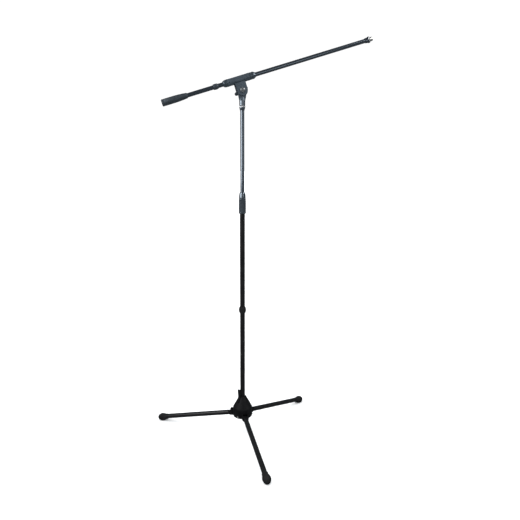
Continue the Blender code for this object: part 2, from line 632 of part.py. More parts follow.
def clamp_pieces(tilt):
    """Everything that tilts with the boom except the handle, the liner and the boom itself."""
    boom_frame = new_empty("boom_axis", tilt,
                           (-CLAMP_RISE * math.sin(BOOM_ELEVATION), 0,
                            CLAMP_RISE * math.cos(BOOM_ELEVATION)),
                           turn_y(math.pi / 2 - BOOM_ELEVATION))
    front = clamp_half(boom_frame, "clamp_front_half", -1)
    clamp_half(boom_frame, "clamp_rear_half", 1)
    bore = BOOM_R + 0.4 * MM
    back = BARREL_BACK - GAP
    turned("clamp_ring_back", [(BARREL_R - 0.3 * MM, back), (BARREL_R - 0.3 * MM, -51 * MM),
                               (12.9 * MM, -56 * MM), (9.4 * MM, CLAMP_BACK),
                               (bore, CLAMP_BACK), (bore, back)],
           boom_frame, BLACK_PLASTIC)
    front_end = BARREL_FRONT + GAP
    turned("clamp_ring_front", [(bore + 0.9 * MM, CLAMP_FRONT), (11.4 * MM, 60 * MM),
                                (13.4 * MM, 55.5 * MM), (13.4 * MM, 50 * MM), (12.2 * MM, 49.2 * MM),
                                (12.2 * MM, 48 * MM), (13.3 * MM, 47.2 * MM),
                                (13.3 * MM, front_end), (bore, front_end), (bore, CLAMP_FRONT)],
           boom_frame, BLACK_PLASTIC)
    screw_place = (0, -BARREL_R, -40 * MM)
    head = [(0, 1.4 * MM), (1.4 * MM, 1.2 * MM), (2.3 * MM, 0.3 * MM), (2.3 * MM, -0.6 * MM),
            (1.5 * MM, -0.6 * MM), (1.5 * MM, -3.6 * MM), (0, -3.6 * MM)]
    outward = Matrix.Rotation(math.pi / 2, 3, "X")
    cut(front, rod("screw_seat", 2.55 * MM, -0.9 * MM, 5 * MM, boom_frame, None,
                   location=screw_place, rotation=outward))
    cut(front, rod("screw_bore", 1.75 * MM, -3.9 * MM, 5 * MM, boom_frame, None,
                   location=screw_place, rotation=outward))
    turned("clamp_screw", head, boom_frame, NICKEL, PIN_STEPS, location=screw_place,
           rotation=outward)
    return boom_frame


def bolt_pieces(tilt):
    """Pieces on the tilt bolt, whose axis is level: their Z runs to the rear, along +Y."""
    head = -(JAW_OUTER + GAP)
    place = {"rotation": ALONG_Y}
    turned("tilt_bolt", [(0, 28 * MM), (BOLT_R - 0.6 * MM, 28 * MM), (BOLT_R, 27 * MM),
                         (BOLT_R, head), (9.3 * MM, head), (9.3 * MM, head - 1.4 * MM),
                         (8.2 * MM, head - 3.6 * MM), (5.6 * MM, head - 5.3 * MM),
                         (2.9 * MM, head - 6.0 * MM), (0, head - 6.2 * MM)],
           tilt, NICKEL, SMALL_STEPS, **place)
    washer_low, washer_high = TONGUE_HALF + 0.25 * MM, JAW_INNER - 0.25 * MM
    ring("friction_washer_rear", BOLT_R + 0.4 * MM, 17.5 * MM, washer_low, washer_high, tilt, FIBRE,
         SMALL_STEPS, **place)
    ring("friction_washer_front", BOLT_R + 0.4 * MM, 17.5 * MM, -washer_high, -washer_low, tilt,
         FIBRE, SMALL_STEPS, **place)
    ring("bolt_washer", BOLT_R + GAP, 9.5 * MM, JAW_OUTER + GAP, JAW_OUTER + 1.5 * MM, tilt, NICKEL,
         SMALL_STEPS, **place)


def handle_pieces(tilt):
    """T-handle behind the swivel, turning on the bolt, with its threaded brass insert."""
    start = JAW_OUTER + 1.8 * MM
    bar_low, bar_high, insert_end = 21.5 * MM, 34.0 * MM, 29.6 * MM
    frame = new_empty("handle_axis", tilt, (0, 0, 0))
    ends = HANDLE_HALF_LENGTH - HANDLE_HALF_WIDTH
    outline = arc((ends, 0), HANDLE_HALF_WIDTH, -90, 90, 9)
    outline += arc((-ends, 0), HANDLE_HALF_WIDTH, 90, 270, 9)
    bar = plate("t_handle", outline, bar_high - bar_low, frame, BLACK_PLASTIC,
                location=(0, (bar_low + bar_high) / 2, 0), rotation=turn_y(-HANDLE_TURN) @ UPRIGHT)
    edges = bar.modifiers.new("rounding", "BEVEL")
    edges.width = 2.2 * MM
    edges.segments = 2
    edges.limit_method = "ANGLE"
    edges.angle_limit = math.radians(60)
    settle(bar)
    boss = [(0, bar_high - 2 * MM), (8.5 * MM, bar_high - 2 * MM), (8.5 * MM, start + 3 * MM),
            (9.0 * MM, start), (0, start)]
    join(bar, turned("boss", boss, frame, None, SMALL_STEPS, rotation=ALONG_Y))
    cut(bar, rod("insert_bore", 6.3 * MM, start - 5 * MM, insert_end + GAP, frame, None,
                 steps=SMALL_STEPS, rotation=ALONG_Y))
    ring("t_handle_insert", BOLT_R + GAP, 6.0 * MM, start, insert_end, frame, BRASS, SMALL_STEPS,
         rotation=ALONG_Y)


# --- boom ---------------------------------------------------------------------------------------
def grip_radius(share):
    """Outer radius of the butt grip: full for half its length, then tapering to the tube."""
    if share < 0.5:
        return GRIP_R
    taper = (share - 0.5) / 0.5
    end = BOOM_R + 1.9 * MM
    return GRIP_R - (GRIP_R - end) * (0.45 * taper + 0.55 * taper ** 2.6)


def boom_pieces(boom_frame):
    liner = new_empty("liner_axis", boom_frame, (0, 0, 0))
    ring("clamp_liner", BOOM_R + GAP, BARREL_BORE_R - GAP, BARREL_BACK + 0.5 * MM,
         BARREL_FRONT - 0.5 * MM, liner, BLACK_PLASTIC)
    boom = new_empty("boom_slide_axis", liner, (0, 0, 0))
    bore = BOOM_R - 1.1 * MM
    ring("boom_tube", bore, BOOM_R, BOOM_TUBE_BACK, BOOM_TUBE_FRONT, boom, BLACK_STEEL)
    butt_grip(boom)
    rod("counterweight", bore - GAP, BOOM_TUBE_BACK + 1 * MM, BOOM_TUBE_BACK + 91 * MM, boom,
        SPRING_STEEL, steps=SMALL_STEPS)
    ring_frame = new_empty("boom_ring_axis", boom, (0, 0, BOOM_RING_MID))
    barrel_ring("boom_cable_ring", BOOM_R + GAP, 10.6 * MM, 0, 9.4 * MM, ring_frame)
    tip_pieces(boom, bore)


def butt_grip(boom):
    """Closed rubber grip over the boom's butt end."""
    bore, floor = BOOM_R + GAP, BOOM_TUBE_BACK - GAP
    top = BOOM_BUTT + GRIP_LENGTH
    profile = [(0, floor), (bore, floor), (bore, top)]
    for i in range(11):
        share = 1 - i * 0.5 / 10
        profile.append((grip_radius(share), BOOM_BUTT + GRIP_LENGTH * share))
    profile += [(GRIP_R, BOOM_BUTT + 3.5 * MM), (GRIP_R - 1.2 * MM, BOOM_BUTT + 1.2 * MM),
                (GRIP_R - 3.5 * MM, BOOM_BUTT), (0, BOOM_BUTT)]
    return turned("butt_grip", profile, boom, BLACK_RUBBER)


def tip_pieces(boom, bore):
    """End cap, 3/8 inch stud, knurled nickel ring and 5/8 inch adapter."""
    cap_low, cap_top, tube_end = 507.5 * MM, 520.5 * MM, BOOM_TUBE_FRONT + GAP
    turned("boom_tip_cap", [(9.6 * MM, cap_top), (10.0 * MM, cap_top - 0.6 * MM),
                            (10.0 * MM, 515 * MM), (8.7 * MM, cap_low), (BOOM_R + GAP, cap_low),
                            (BOOM_R + GAP, tube_end), (STUD_HOLE_R, tube_end),
                            (STUD_HOLE_R, cap_top)], boom, BLACK_PLASTIC)
    turned("tip_stud", [(0, 534 * MM), (STUD_R - 0.7 * MM, 534 * MM), (STUD_R, 533.2 * MM),
                        (STUD_R, 515.6 * MM), (bore - 0.25 * MM, 515.6 * MM),
                        (bore - 0.25 * MM, 496 * MM), (0, 496 * MM)], boom, SPRING_STEEL,
           SMALL_STEPS)
    low, high, rim, edge = 520.8 * MM, 526.8 * MM, 11.9 * MM, 0.6 * MM
    turned("tip_ring", [(rim - edge, high), (rim, high - edge), (rim, low + edge),
                        (rim - edge, low), (STUD_HOLE_R, low), (STUD_HOLE_R, high)],
           boom, NICKEL)
    turned("thread_adapter", [(ADAPTER_R - 0.5 * MM, BOOM_TIP), (ADAPTER_R, BOOM_TIP - 0.5 * MM),
                              (ADAPTER_R, high + GAP), (STUD_HOLE_R, high + GAP),
                              (STUD_HOLE_R, BOOM_TIP)], boom, NICKEL)


# --- assembly -----------------------------------------------------------------------------------
def centre_footprint(stand):
    """Moves the stand so that the bottom centre of its box is the origin."""
    bpy.context.view_layer.update()
    corners = []
    for obj in PARTS.objects:
        if obj.type == "MESH":
            corners += [obj.matrix_world @ vertex.co for vertex in obj.data.vertices]
    low = [min(corner[axis] for corner in corners) for axis in range(3)]
    high = [max(corner[axis] for corner in corners) for axis in range(3)]
    stand.location = (-(low[0] + high[0]) / 2, -(low[1] + high[1]) / 2, -low[2])
    bpy.context.view_layer.update()


def build():
    stand = new_empty("stand", None, (0, 0, 0))
    hub_cover(stand)
    hub_base_plate(stand)
    base_screw(stand)
    lock_sleeve(stand)
    lock_spring(stand)
    release_lever(stand)
    for number, azimuth in enumerate(LEG_AZIMUTHS, start=1):
        hub_screw(stand, number, azimuth + HUB_SCREW_TURN)
        frame = leg_frame(stand, number, azimuth)
        leg_pin(frame, number)
        leg_root(frame, number)
        leg_tube(frame, number)
        leg_foot(stand, frame, number)
    pole_pieces(stand)
    pan = clutch_pieces(stand)
    mast = mast_pieces(pan)
    tilt = new_empty("tilt_axis", mast, (0, 0, TILT_Z))
    boom_frame = clamp_pieces(tilt)
    bolt_pieces(tilt)
    handle_pieces(tilt)
    boom_pieces(boom_frame)
    centre_footprint(stand)


build()
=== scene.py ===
"""Looks of the boom microphone stand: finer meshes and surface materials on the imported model.

Metres, +Z up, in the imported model's own frame.  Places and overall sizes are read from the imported
nodes and joints.  The values named here shape the outlines between them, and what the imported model
leaves out: rounded edges, threads, knurls, ribs and surface grain.
"""

import json
import math

import bmesh
import bpy
from mathutils import Matrix, Vector

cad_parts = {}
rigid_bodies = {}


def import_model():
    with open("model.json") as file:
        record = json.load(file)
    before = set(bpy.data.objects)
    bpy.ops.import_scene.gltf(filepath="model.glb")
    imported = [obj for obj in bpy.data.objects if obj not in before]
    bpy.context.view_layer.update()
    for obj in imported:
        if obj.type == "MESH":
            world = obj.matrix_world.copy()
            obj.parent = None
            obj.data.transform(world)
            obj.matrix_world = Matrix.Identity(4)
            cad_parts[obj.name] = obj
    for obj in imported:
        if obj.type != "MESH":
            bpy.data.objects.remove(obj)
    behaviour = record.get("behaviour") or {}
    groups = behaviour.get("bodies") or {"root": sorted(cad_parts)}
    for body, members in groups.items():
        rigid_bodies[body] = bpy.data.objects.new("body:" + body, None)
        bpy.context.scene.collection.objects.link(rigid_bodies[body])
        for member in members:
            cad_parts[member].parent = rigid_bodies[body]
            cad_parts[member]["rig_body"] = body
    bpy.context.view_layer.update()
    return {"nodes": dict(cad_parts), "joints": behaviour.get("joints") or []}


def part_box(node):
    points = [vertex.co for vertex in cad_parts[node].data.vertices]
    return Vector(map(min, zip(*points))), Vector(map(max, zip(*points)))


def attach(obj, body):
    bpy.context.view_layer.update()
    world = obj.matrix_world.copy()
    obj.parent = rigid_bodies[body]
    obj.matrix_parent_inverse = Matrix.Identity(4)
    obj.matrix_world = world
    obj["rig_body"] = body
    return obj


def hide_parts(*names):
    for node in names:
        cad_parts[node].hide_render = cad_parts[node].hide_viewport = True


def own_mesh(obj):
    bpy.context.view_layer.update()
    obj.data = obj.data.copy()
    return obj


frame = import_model()
JOINTS = {joint["name"]: joint for joint in frame["joints"]}
MM = 0.001
HAIR = 0.001 * MM                # lengths that differ by less than this count as equal
LEG_NUMBERS = (1, 2, 3)


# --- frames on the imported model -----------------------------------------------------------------
def frame_at(origin, along, level):
    """A frame with that origin, its Z along one direction and its Y near the other."""
    z = Vector(along).normalized()
    x = Vector(level).cross(z).normalized()
    matrix = Matrix((x, z.cross(x), z)).transposed().to_4x4()
    matrix.translation = origin
    return matrix


def middle(node):
    low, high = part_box(node)
    return (low + high) / 2


def pole_frame():
    centre = middle("lower_tube")
    return Matrix.Translation((centre.x, centre.y, 0))


def leg_frame(number):
    """Z runs out along the leg from its pin, Y along the pin, X downward."""
    joint = JOINTS[f"leg_fold_{number}"]
    origin = Vector(joint["pos_m"])
    return frame_at(origin, middle(f"leg_tube_{number}") - origin, -Vector(joint["axis"]))


def lever_frame():
    """On the lever's pin: X points away from the pole, Y along the pin."""
    origin = Vector(JOINTS["lever_pull"]["pos_m"])
    outward = origin - POLE.translation
    return frame_at(origin, (0, 0, 1), Vector((0, 0, 1)).cross(outward))


POLE = pole_frame()
LEGS = {number: leg_frame(number) for number in LEG_NUMBERS}
LEVER = lever_frame()
BOOM = frame_at(JOINTS["boom_twist"]["pos_m"], JOINTS["boom_slide"]["axis"], (0, 1, 0))
BOLT = frame_at(JOINTS["boom_tilt"]["pos_m"], (0, 1, 0), (0, 0, -1))


def extent(node, place):
    """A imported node's lowest and highest place along a frame's Z, and its radius about it."""
    inverse = place.inverted()
    points = [inverse @ vertex.co for vertex in frame["nodes"][node].data.vertices]
    heights = [point.z for point in points]
    return min(heights), max(heights), max(point.xy.length for point in points)


# --- outlines -----------------------------------------------------------------------------------
def arc(centre, radius, start, end, points):
    """Points on an arc, both ends included; angles in degrees."""
    angles = [math.radians(start + (end - start) * i / (points - 1)) for i in range(points)]
    return [(centre[0] + radius * math.cos(a), centre[1] + radius * math.sin(a)) for a in angles]


def rounded(points, radius, closed=True, segments=4):
    """The outline with its corners eased to about that radius; an open one keeps both ends."""
    nearly_straight, largest_share = math.radians(6), 0.45
    points = [Vector(point) for point in points]
    count, result = len(points), []
    for i, corner in enumerate(points):
        if not closed and i in (0, count - 1):
            result.append(tuple(corner))
            continue
        back, ahead = points[i - 1] - corner, points[(i + 1) % count] - corner
        half = (math.pi - back.angle(ahead)) / 2
        reach = min(radius * math.tan(half), largest_share * min(back.length, ahead.length))
        if half < nearly_straight:
            result.append(tuple(corner))
            continue
        start, end = corner + back.normalized() * reach, corner + ahead.normalized() * reach
        for step in range(segments + 1):
            share = step / segments
            point = start * (1 - share) ** 2 + corner * 2 * share * (1 - share) + end * share ** 2
            result.append(tuple(point))
    return result


# --- meshes -------------------------------------------------------------------------------------
def made_mesh(shape, place=Matrix()):
    bmesh.ops.recalc_face_normals(shape, faces=shape.faces)
    mesh = bpy.data.meshes.new("shape")
    shape.to_mesh(mesh)
    shape.free()
    mesh.transform(place)
    return mesh


def lathe(profile, steps=64, warp=None, place=Matrix()):
    """A (radius, height) outline turned about Z.  One that never meets the axis closes into a ring.

    warp(radius, height, angle) gives the radius where the piece isn't round.
    """
    shape = bmesh.new()
    rings = []
    for radius, height in profile:
        if radius < HAIR:
            rings.append([shape.verts.new((0, 0, height))] * steps)
            continue
        ring = []
        for step in range(steps):
            angle = 2 * math.pi * step / steps
            reach = warp(radius, height, angle) if warp else radius
            ring.append(shape.verts.new((reach * math.cos(angle), reach * math.sin(angle), height)))
        rings.append(ring)
    pairs = list(zip(rings, rings[1:]))
    if min(radius for radius, height in profile) > HAIR:
        pairs.append((rings[-1], rings[0]))
    for first, second in pairs:
        for step in range(steps):
            after = (step + 1) % steps
            corners = [first[step], first[after], second[after], second[step]]
            corners = list(dict.fromkeys(corners))
            if len(corners) > 2:
                shape.faces.new(corners)
    return made_mesh(shape, place)


def plate(outline, half, place=Matrix()):
    """A flat (x, y) outline, that thick to each side along Z."""
    shape = bmesh.new()
    low = [shape.verts.new((x, y, -half)) for x, y in outline]
    high = [shape.verts.new((x, y, half)) for x, y in outline]
    shape.faces.new(low)
    shape.faces.new(high)
    for i in range(len(outline)):
        after = (i + 1) % len(outline)
        shape.faces.new((low[i], low[after], high[after], high[i]))
    return made_mesh(shape, place)


def block(low, high, place=Matrix()):
    outline = [(low[0], low[1]), (high[0], low[1]), (high[0], high[1]), (low[0], high[1])]
    lift = Matrix.Translation((0, 0, (low[2] + high[2]) / 2))
    return plate(outline, (high[2] - low[2]) / 2, place @ lift)


def rod(radius, low, high, place=Matrix(), steps=48):
    return lathe([(0, low), (radius, low), (radius, high), (0, high)], steps, place=place)


def skin(shape, rings):
    """Covers rings that all have as many points, and closes the first and the last."""
    for first, second in zip(rings, rings[1:]):
        for side in range(len(first)):
            after = (side + 1) % len(first)
            shape.faces.new((first[side], first[after], second[after], second[side]))
    shape.faces.new(rings[0])
    shape.faces.new(rings[-1])


def sweep(path, radius, sides=10):
    """A round wire along a path, closed at both ends."""
    shape = bmesh.new()
    rings = []
    for i, point in enumerate(path):
        ahead, behind = path[min(i + 1, len(path) - 1)], path[max(i - 1, 0)]
        across = frame_at(point, ahead - behind, (0, 0, 1))
        ring = [across @ Vector((radius * math.cos(a), radius * math.sin(a), 0))
                for a in (2 * math.pi * side / sides for side in range(sides))]
        rings.append([shape.verts.new(corner) for corner in ring])
    skin(shape, rings)
    return made_mesh(shape)


def loose_object(mesh):
    obj = bpy.data.objects.new("shape", mesh)
    bpy.context.scene.collection.objects.link(obj)
    return obj


def settled(obj):
    """The mesh that the object's modifiers make; the object itself is removed."""
    bpy.context.view_layer.update()
    depsgraph = bpy.context.evaluated_depsgraph_get()
    mesh = bpy.data.meshes.new_from_object(obj.evaluated_get(depsgraph))
    bpy.data.objects.remove(obj)
    return mesh


def combined(mesh, tools, operation):
    """The mesh joined with each tool, or with each tool cut out of it."""
    for tool in tools:
        obj, cutter = loose_object(mesh), loose_object(tool)
        boolean = obj.modifiers.new("boolean", "BOOLEAN")
        boolean.operation = operation
        boolean.solver = "EXACT"
        boolean.object = cutter
        mesh = settled(obj)
        bpy.data.objects.remove(cutter)
    return mesh


def softened(mesh, voxel, passes, keep=0.5):
    """The mesh with the soft edges and small fillets of a casting or moulding."""
    obj = loose_object(mesh)
    remesh = obj.modifiers.new("remesh", "REMESH")
    remesh.mode = "VOXEL"
    remesh.voxel_size = voxel
    smooth = obj.modifiers.new("smooth", "SMOOTH")
    smooth.factor = 0.5
    smooth.iterations = passes
    fewer = obj.modifiers.new("fewer", "DECIMATE")
    fewer.ratio = keep
    return settled(obj)


def show(node, mesh, place, finish, sharp=38):
    """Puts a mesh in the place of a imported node, riding on that node's body."""
    obj = loose_object(mesh)
    obj.name = node + "_fine"
    mesh.name = obj.name
    obj.matrix_world = place
    mesh.materials.clear()
    mesh.materials.append(FINISHES[finish])
    mesh.shade_smooth()
    mesh.set_sharp_from_angle(angle=math.radians(sharp))
    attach(obj, frame["nodes"][node]["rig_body"])
    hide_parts(node)
    return obj


# --- materials ----------------------------------------------------------------------------------
def grain(nodes, links, scale, detail, stretch=(1, 1, 1)):
    """Noise in the object's own coordinates, stretched along an axis where a scale is below 1."""
    place = nodes.new("ShaderNodeTexCoord")
    mapping = nodes.new("ShaderNodeMapping")
    mapping.inputs["Scale"].default_value = stretch
    noise = nodes.new("ShaderNodeTexNoise")
    noise.inputs["Scale"].default_value = scale
    noise.inputs["Detail"].default_value = detail
    links.new(place.outputs["Object"], mapping.inputs["Vector"])
    links.new(mapping.outputs["Vector"], noise.inputs["Vector"])
    return noise.outputs["Fac"]


def spread(nodes, links, value, low, high):
    """Maps the middle of a noise's range to low..high."""
    scale = nodes.new("ShaderNodeMapRange")
    scale.inputs["From Min"].default_value = 0.3
    scale.inputs["From Max"].default_value = 0.7
    scale.inputs["To Min"].default_value = low
    scale.inputs["To Max"].default_value = high
    links.new(value, scale.inputs["Value"])
    return scale.outputs["Result"]


def blended(nodes, links, factor, first, second):
    """A colour between two; either may be a colour or another node's output."""
    mix = nodes.new("ShaderNodeMix")
    mix.data_type = "RGBA"
    links.new(factor, mix.inputs["Factor"])
    for socket, colour in ((mix.inputs["A"], first), (mix.inputs["B"], second)):
        if isinstance(colour, tuple):
            socket.default_value = (*colour, 1.0)
        else:
            links.new(colour, socket)
    return mix.outputs["Result"]


FINISHES = {}                    # every finish that surface() has made, by its name
EDGE_STARTS, EDGE_FULL = 0.53, 0.62        # pointiness where wear begins and where it is full


def surface(name, dark, light, rough, bump, metallic=0.0, specular=0.5, patch=45, grit=900,
            streak=(1, 1, 1), worn=None, coat=0.0, tint=(1, 1, 1)):
    """Adds a finish: two tones in patches, uneven gloss, a fine relief, and paler worn edges.

    rough is the roughness's range, bump the relief's depth in metres.  patch and grit are the noise
    scales of the tones and of the relief, and streak stretches both.
    """
    material = bpy.data.materials.new(name)
    material.use_nodes = True
    nodes, links = material.node_tree.nodes, material.node_tree.links
    shader = nodes["Principled BSDF"]
    shader.inputs["Metallic"].default_value = metallic
    shader.inputs["Specular IOR Level"].default_value = specular
    shader.inputs["Specular Tint"].default_value = (*tint, 1.0)
    shader.inputs["Coat Weight"].default_value = coat
    shader.inputs["Coat Roughness"].default_value = 0.12
    tones = spread(nodes, links, grain(nodes, links, patch, 5, streak), 0.0, 1.0)
    colour = blended(nodes, links, tones, dark, light)
    if worn:
        edge = nodes.new("ShaderNodeNewGeometry")
        ramp = nodes.new("ShaderNodeMapRange")
        ramp.inputs["From Min"].default_value = EDGE_STARTS
        ramp.inputs["From Max"].default_value = EDGE_FULL
        links.new(edge.outputs["Pointiness"], ramp.inputs["Value"])
        colour = blended(nodes, links, ramp.outputs["Result"], colour, worn)
    links.new(colour, shader.inputs["Base Color"])
    uneven = grain(nodes, links, patch * 4, 6, streak)
    links.new(spread(nodes, links, uneven, *rough), shader.inputs["Roughness"])
    relief = nodes.new("ShaderNodeBump")
    relief.inputs["Strength"].default_value = 0.4
    relief.inputs["Distance"].default_value = bump
    links.new(grain(nodes, links, grit, 3, streak), relief.inputs["Height"])
    links.new(relief.outputs["Normal"], shader.inputs["Normal"])
    FINISHES[name] = material


ALONG = (1, 1, 0.1)              # grain drawn out along a tube
SLATE = (0.72, 0.86, 1.0)        # the upper pieces' paint and plastic reflect a little blue
POWDER_COAT = ((0.0045, 0.0045, 0.005), (0.0085, 0.0085, 0.009), (0.26, 0.32), 0.02 * MM)
surface("dull_paint", *POWDER_COAT, specular=0.045, grit=700)
surface("leg_paint", *POWDER_COAT, specular=0.10, grit=700)
surface("gloss_paint", (0.008, 0.011, 0.015), (0.013, 0.017, 0.022), (0.17, 0.19), 0.002 * MM,
        specular=0.9, patch=300, grit=1500, tint=SLATE, coat=0.3)
surface("boom_paint", (0.003, 0.004, 0.005), (0.006, 0.007, 0.009), (0.17, 0.21), 0.004 * MM,
        specular=1.0, patch=120, streak=ALONG, tint=SLATE)
surface("hub_casting", (0.0022, 0.0022, 0.0026), (0.0048, 0.0048, 0.0053), (0.42, 0.58), 0.10 * MM,
        specular=0.05, grit=520, worn=(0.012, 0.012, 0.013))
surface("swivel_casting", (0.017, 0.023, 0.029), (0.027, 0.036, 0.045), (0.40, 0.54), 0.08 * MM,
        specular=0.36, grit=620, tint=SLATE, worn=(0.045, 0.056, 0.068))
surface("neck_paint", (0.008, 0.011, 0.015), (0.014, 0.019, 0.024), (0.17, 0.20), 0.003 * MM,
        specular=1.0, patch=200, grit=900, tint=SLATE, coat=0.3)
surface("gloss_plastic", (0.006, 0.008, 0.010), (0.011, 0.014, 0.017), (0.12, 0.16), 0.003 * MM,
        specular=1.0, grit=1500, tint=SLATE, coat=0.2)
surface("plastic", (0.014, 0.019, 0.023), (0.023, 0.030, 0.036), (0.28, 0.38), 0.02 * MM,
        specular=0.24, grit=1500, tint=SLATE, worn=(0.030, 0.037, 0.044))
surface("dull_plastic", (0.004, 0.004, 0.0045), (0.008, 0.008, 0.009), (0.34, 0.50), 0.03 * MM,
        specular=0.06, grit=1500, worn=(0.02, 0.02, 0.022))
surface("grip_rubber", (0.010, 0.013, 0.015), (0.016, 0.020, 0.024), (0.44, 0.58), 0.08 * MM,
        specular=0.32, grit=1100, tint=SLATE)
surface("foot_rubber", (0.004, 0.004, 0.004), (0.009, 0.009, 0.010), (0.55, 0.75), 0.08 * MM,
        specular=0.06, grit=1100, worn=(0.018, 0.018, 0.018))
surface("nickel", (0.50, 0.49, 0.47), (0.66, 0.65, 0.62), (0.12, 0.26), 0.004 * MM, metallic=1.0,
        patch=80)
surface("dark_nickel", (0.20, 0.205, 0.21), (0.29, 0.295, 0.30), (0.22, 0.34), 0.004 * MM,
        metallic=1.0, patch=120)
surface("satin_zinc", (0.045, 0.050, 0.054), (0.070, 0.078, 0.082), (0.16, 0.22), 0.003 * MM,
        metallic=0.1, specular=0.5, patch=160)
surface("steel", (0.34, 0.34, 0.35), (0.50, 0.50, 0.50), (0.26, 0.42), 0.02 * MM, metallic=1.0,
        patch=120)
surface("brass", (0.55, 0.40, 0.17), (0.70, 0.54, 0.26), (0.25, 0.40), 0.02 * MM, metallic=1.0,
        patch=120)
surface("fibre", (0.07, 0.03, 0.02), (0.16, 0.08, 0.05), (0.75, 0.90), 0.08 * MM, specular=0.3,
        patch=400)


# --- tubes, threads and knurls ------------------------------------------------------------------
def tube(node, place, wall, finish, grooves=()):
    """A drawn tube with eased ends, and a rolled groove at each given height."""
    low, high, radius = extent(node, place)
    depth, reach = 0.3 * MM, 1.6 * MM
    outer = [(radius, low)]
    for height in grooves:
        outer += [(radius, height - reach), (radius - depth, height - reach * 0.3),
                  (radius - depth, height + reach * 0.3), (radius, height + reach)]
    outer += [(radius, high), (radius - wall, high), (radius - wall, low)]
    show(node, lathe(rounded(outer, 0.4 * MM), steps=72), place, finish)


def screw_thread(crest, depth, pitch, low, high):
    """warp() for a helical thread between two heights on the surface of radius crest."""
    def warp(radius, height, angle):
        if abs(radius - crest) > HAIR or not low < height < high:
            return radius
        phase = (height / pitch - angle / (2 * math.pi)) % 1.0
        fade = min(1.0, (height - low) / pitch, (high - height) / pitch)
        return radius - depth * fade * min(1.0, abs(phase - 0.5) * 2.4)
    return warp


def dense(radius, low, high, pitch):
    """Points close enough together along a straight side to carry a thread."""
    count = int((high - low) / pitch * 8)
    return [(radius, low + (high - low) * i / count) for i in range(count + 1)]


def knurl(rim, teeth, depth, low, high):
    """warp() for straight teeth round a rim, running out at both edges."""
    def warp(radius, height, angle):
        if radius < rim - HAIR or not low < height < high:
            return radius
        return radius - depth * abs(math.sin(angle * teeth / 2))
    return warp


def knurled_ring(node, place, bore, teeth):
    """Bright ring, knurled round its rim between two eased edges."""
    low, high, rim = extent(node, place)
    edge, band, depth = 0.5 * MM, 0.9 * MM, 0.35 * MM
    profile = [(bore, low), (rim - edge, low), (rim, low + edge), (rim, low + band),
               (rim, high - band), (rim, high - edge), (rim - edge, high), (bore, high)]
    profile = rounded(profile, 0.15 * MM, segments=2)
    teeth_round = knurl(rim, teeth, depth, low + edge, high - edge)
    show(node, lathe(profile, steps=teeth * 4, warp=teeth_round), place, "dark_nickel", 50)


def stud(node, place, shank_end):
    """A threaded stud on a plain shank that is pressed into its tube."""
    low, high, shank = extent(node, place)
    crest, depth, pitch, ease = 4.7 * MM, 0.7 * MM, 1.5875 * MM, 0.5 * MM
    profile = [(0, low), (shank - ease, low), (shank, low + ease), (shank, shank_end)]
    profile += dense(crest, shank_end, high - 0.6 * MM, pitch)
    profile += [(crest - depth, high), (0, high)]
    warp = screw_thread(crest, depth, pitch, shank_end, high - ease)
    show(node, lathe(profile, warp=warp), place, "steel", 60)


def screw_outline(start, seat, end, shank, tip, head, flange, flat=0.6, dome=0.0):
    """A pointed shank up to the head's seat, and a head with a rim and a flat or domed middle.

    tip is the point's radius and length, flat the middle's share of the head's radius.
    """
    return [(0, start), (tip[0], start), (shank, start + tip[1]), (shank, seat), (head, seat),
            (head, seat + flange), (head * flat, end - dome), (0, end)]


def screw(node, place, profile, recess, depth, finish="nickel"):
    """A screw turned about Z with a cross recess in its head, at the high end of its outline."""
    top, slot = profile[-1][1], recess * 0.22
    mesh = lathe(rounded(profile, 0.35 * MM, closed=False), steps=40)
    bars = [block((-recess, -slot, top - depth), (recess, slot, top + depth)),
            block((-slot, -recess, top - depth), (slot, recess, top + depth))]
    show(node, combined(mesh, bars, "DIFFERENCE"), place, finish)


# --- tripod base --------------------------------------------------------------------------------
HUB_R, HUB_SHOULDER_Z, HUB_NECK_R = 40.0 * MM, 113.0 * MM, 14.0 * MM
HUB_WALL, HUB_CEILING_Z, HUB_BORE = 4.5 * MM, 152.0 * MM, 10.3 * MM
EAR_INNER, EAR_OUTER, EAR_TOP_Z = 10.4 * MM, 12.6 * MM, 96.5 * MM
LEG_PIN_R, LEVER_PIN_R = 3.0 * MM, 1.5 * MM
STUD_R = 5 * MM                  # the hole for a 3/8 inch stud
UPRIGHT = Matrix.Rotation(math.pi / 2, 4, "X")       # an outline's Y becomes the frame's Z
ACROSS = Matrix.Rotation(-math.pi / 2, 4, "X")       # a turned piece then lies along the frame's Y
THROUGH = 20 * MM                # half the length of a cutter that passes right through a piece


def facing(number):
    """On the pole's axis at the floor, X toward a leg."""
    pin = LEGS[number].translation - POLE.translation
    return Matrix.Rotation(math.atan2(pin.y, pin.x), 4, "Z")


def hub_shell(low, high):
    """The hollow cone on its straight skirt, with a rolled lower edge."""
    slope = (HUB_R - HUB_NECK_R) / (high - HUB_SHOULDER_Z)
    ceiling = HUB_NECK_R + (high - HUB_CEILING_Z) * slope - HUB_WALL
    edge, inner = 3.5 * MM, HUB_R - HUB_WALL
    outside = [(HUB_BORE, high), (HUB_NECK_R, high), (HUB_R, HUB_SHOULDER_Z)]
    outside += arc((HUB_R - edge, low + edge), edge, 0, -90, 6)
    inside = [(inner, low), (inner, HUB_SHOULDER_Z), (ceiling, HUB_CEILING_Z),
              (HUB_BORE, HUB_CEILING_Z)]
    return lathe(rounded(outside + inside, 1.2 * MM), steps=144)


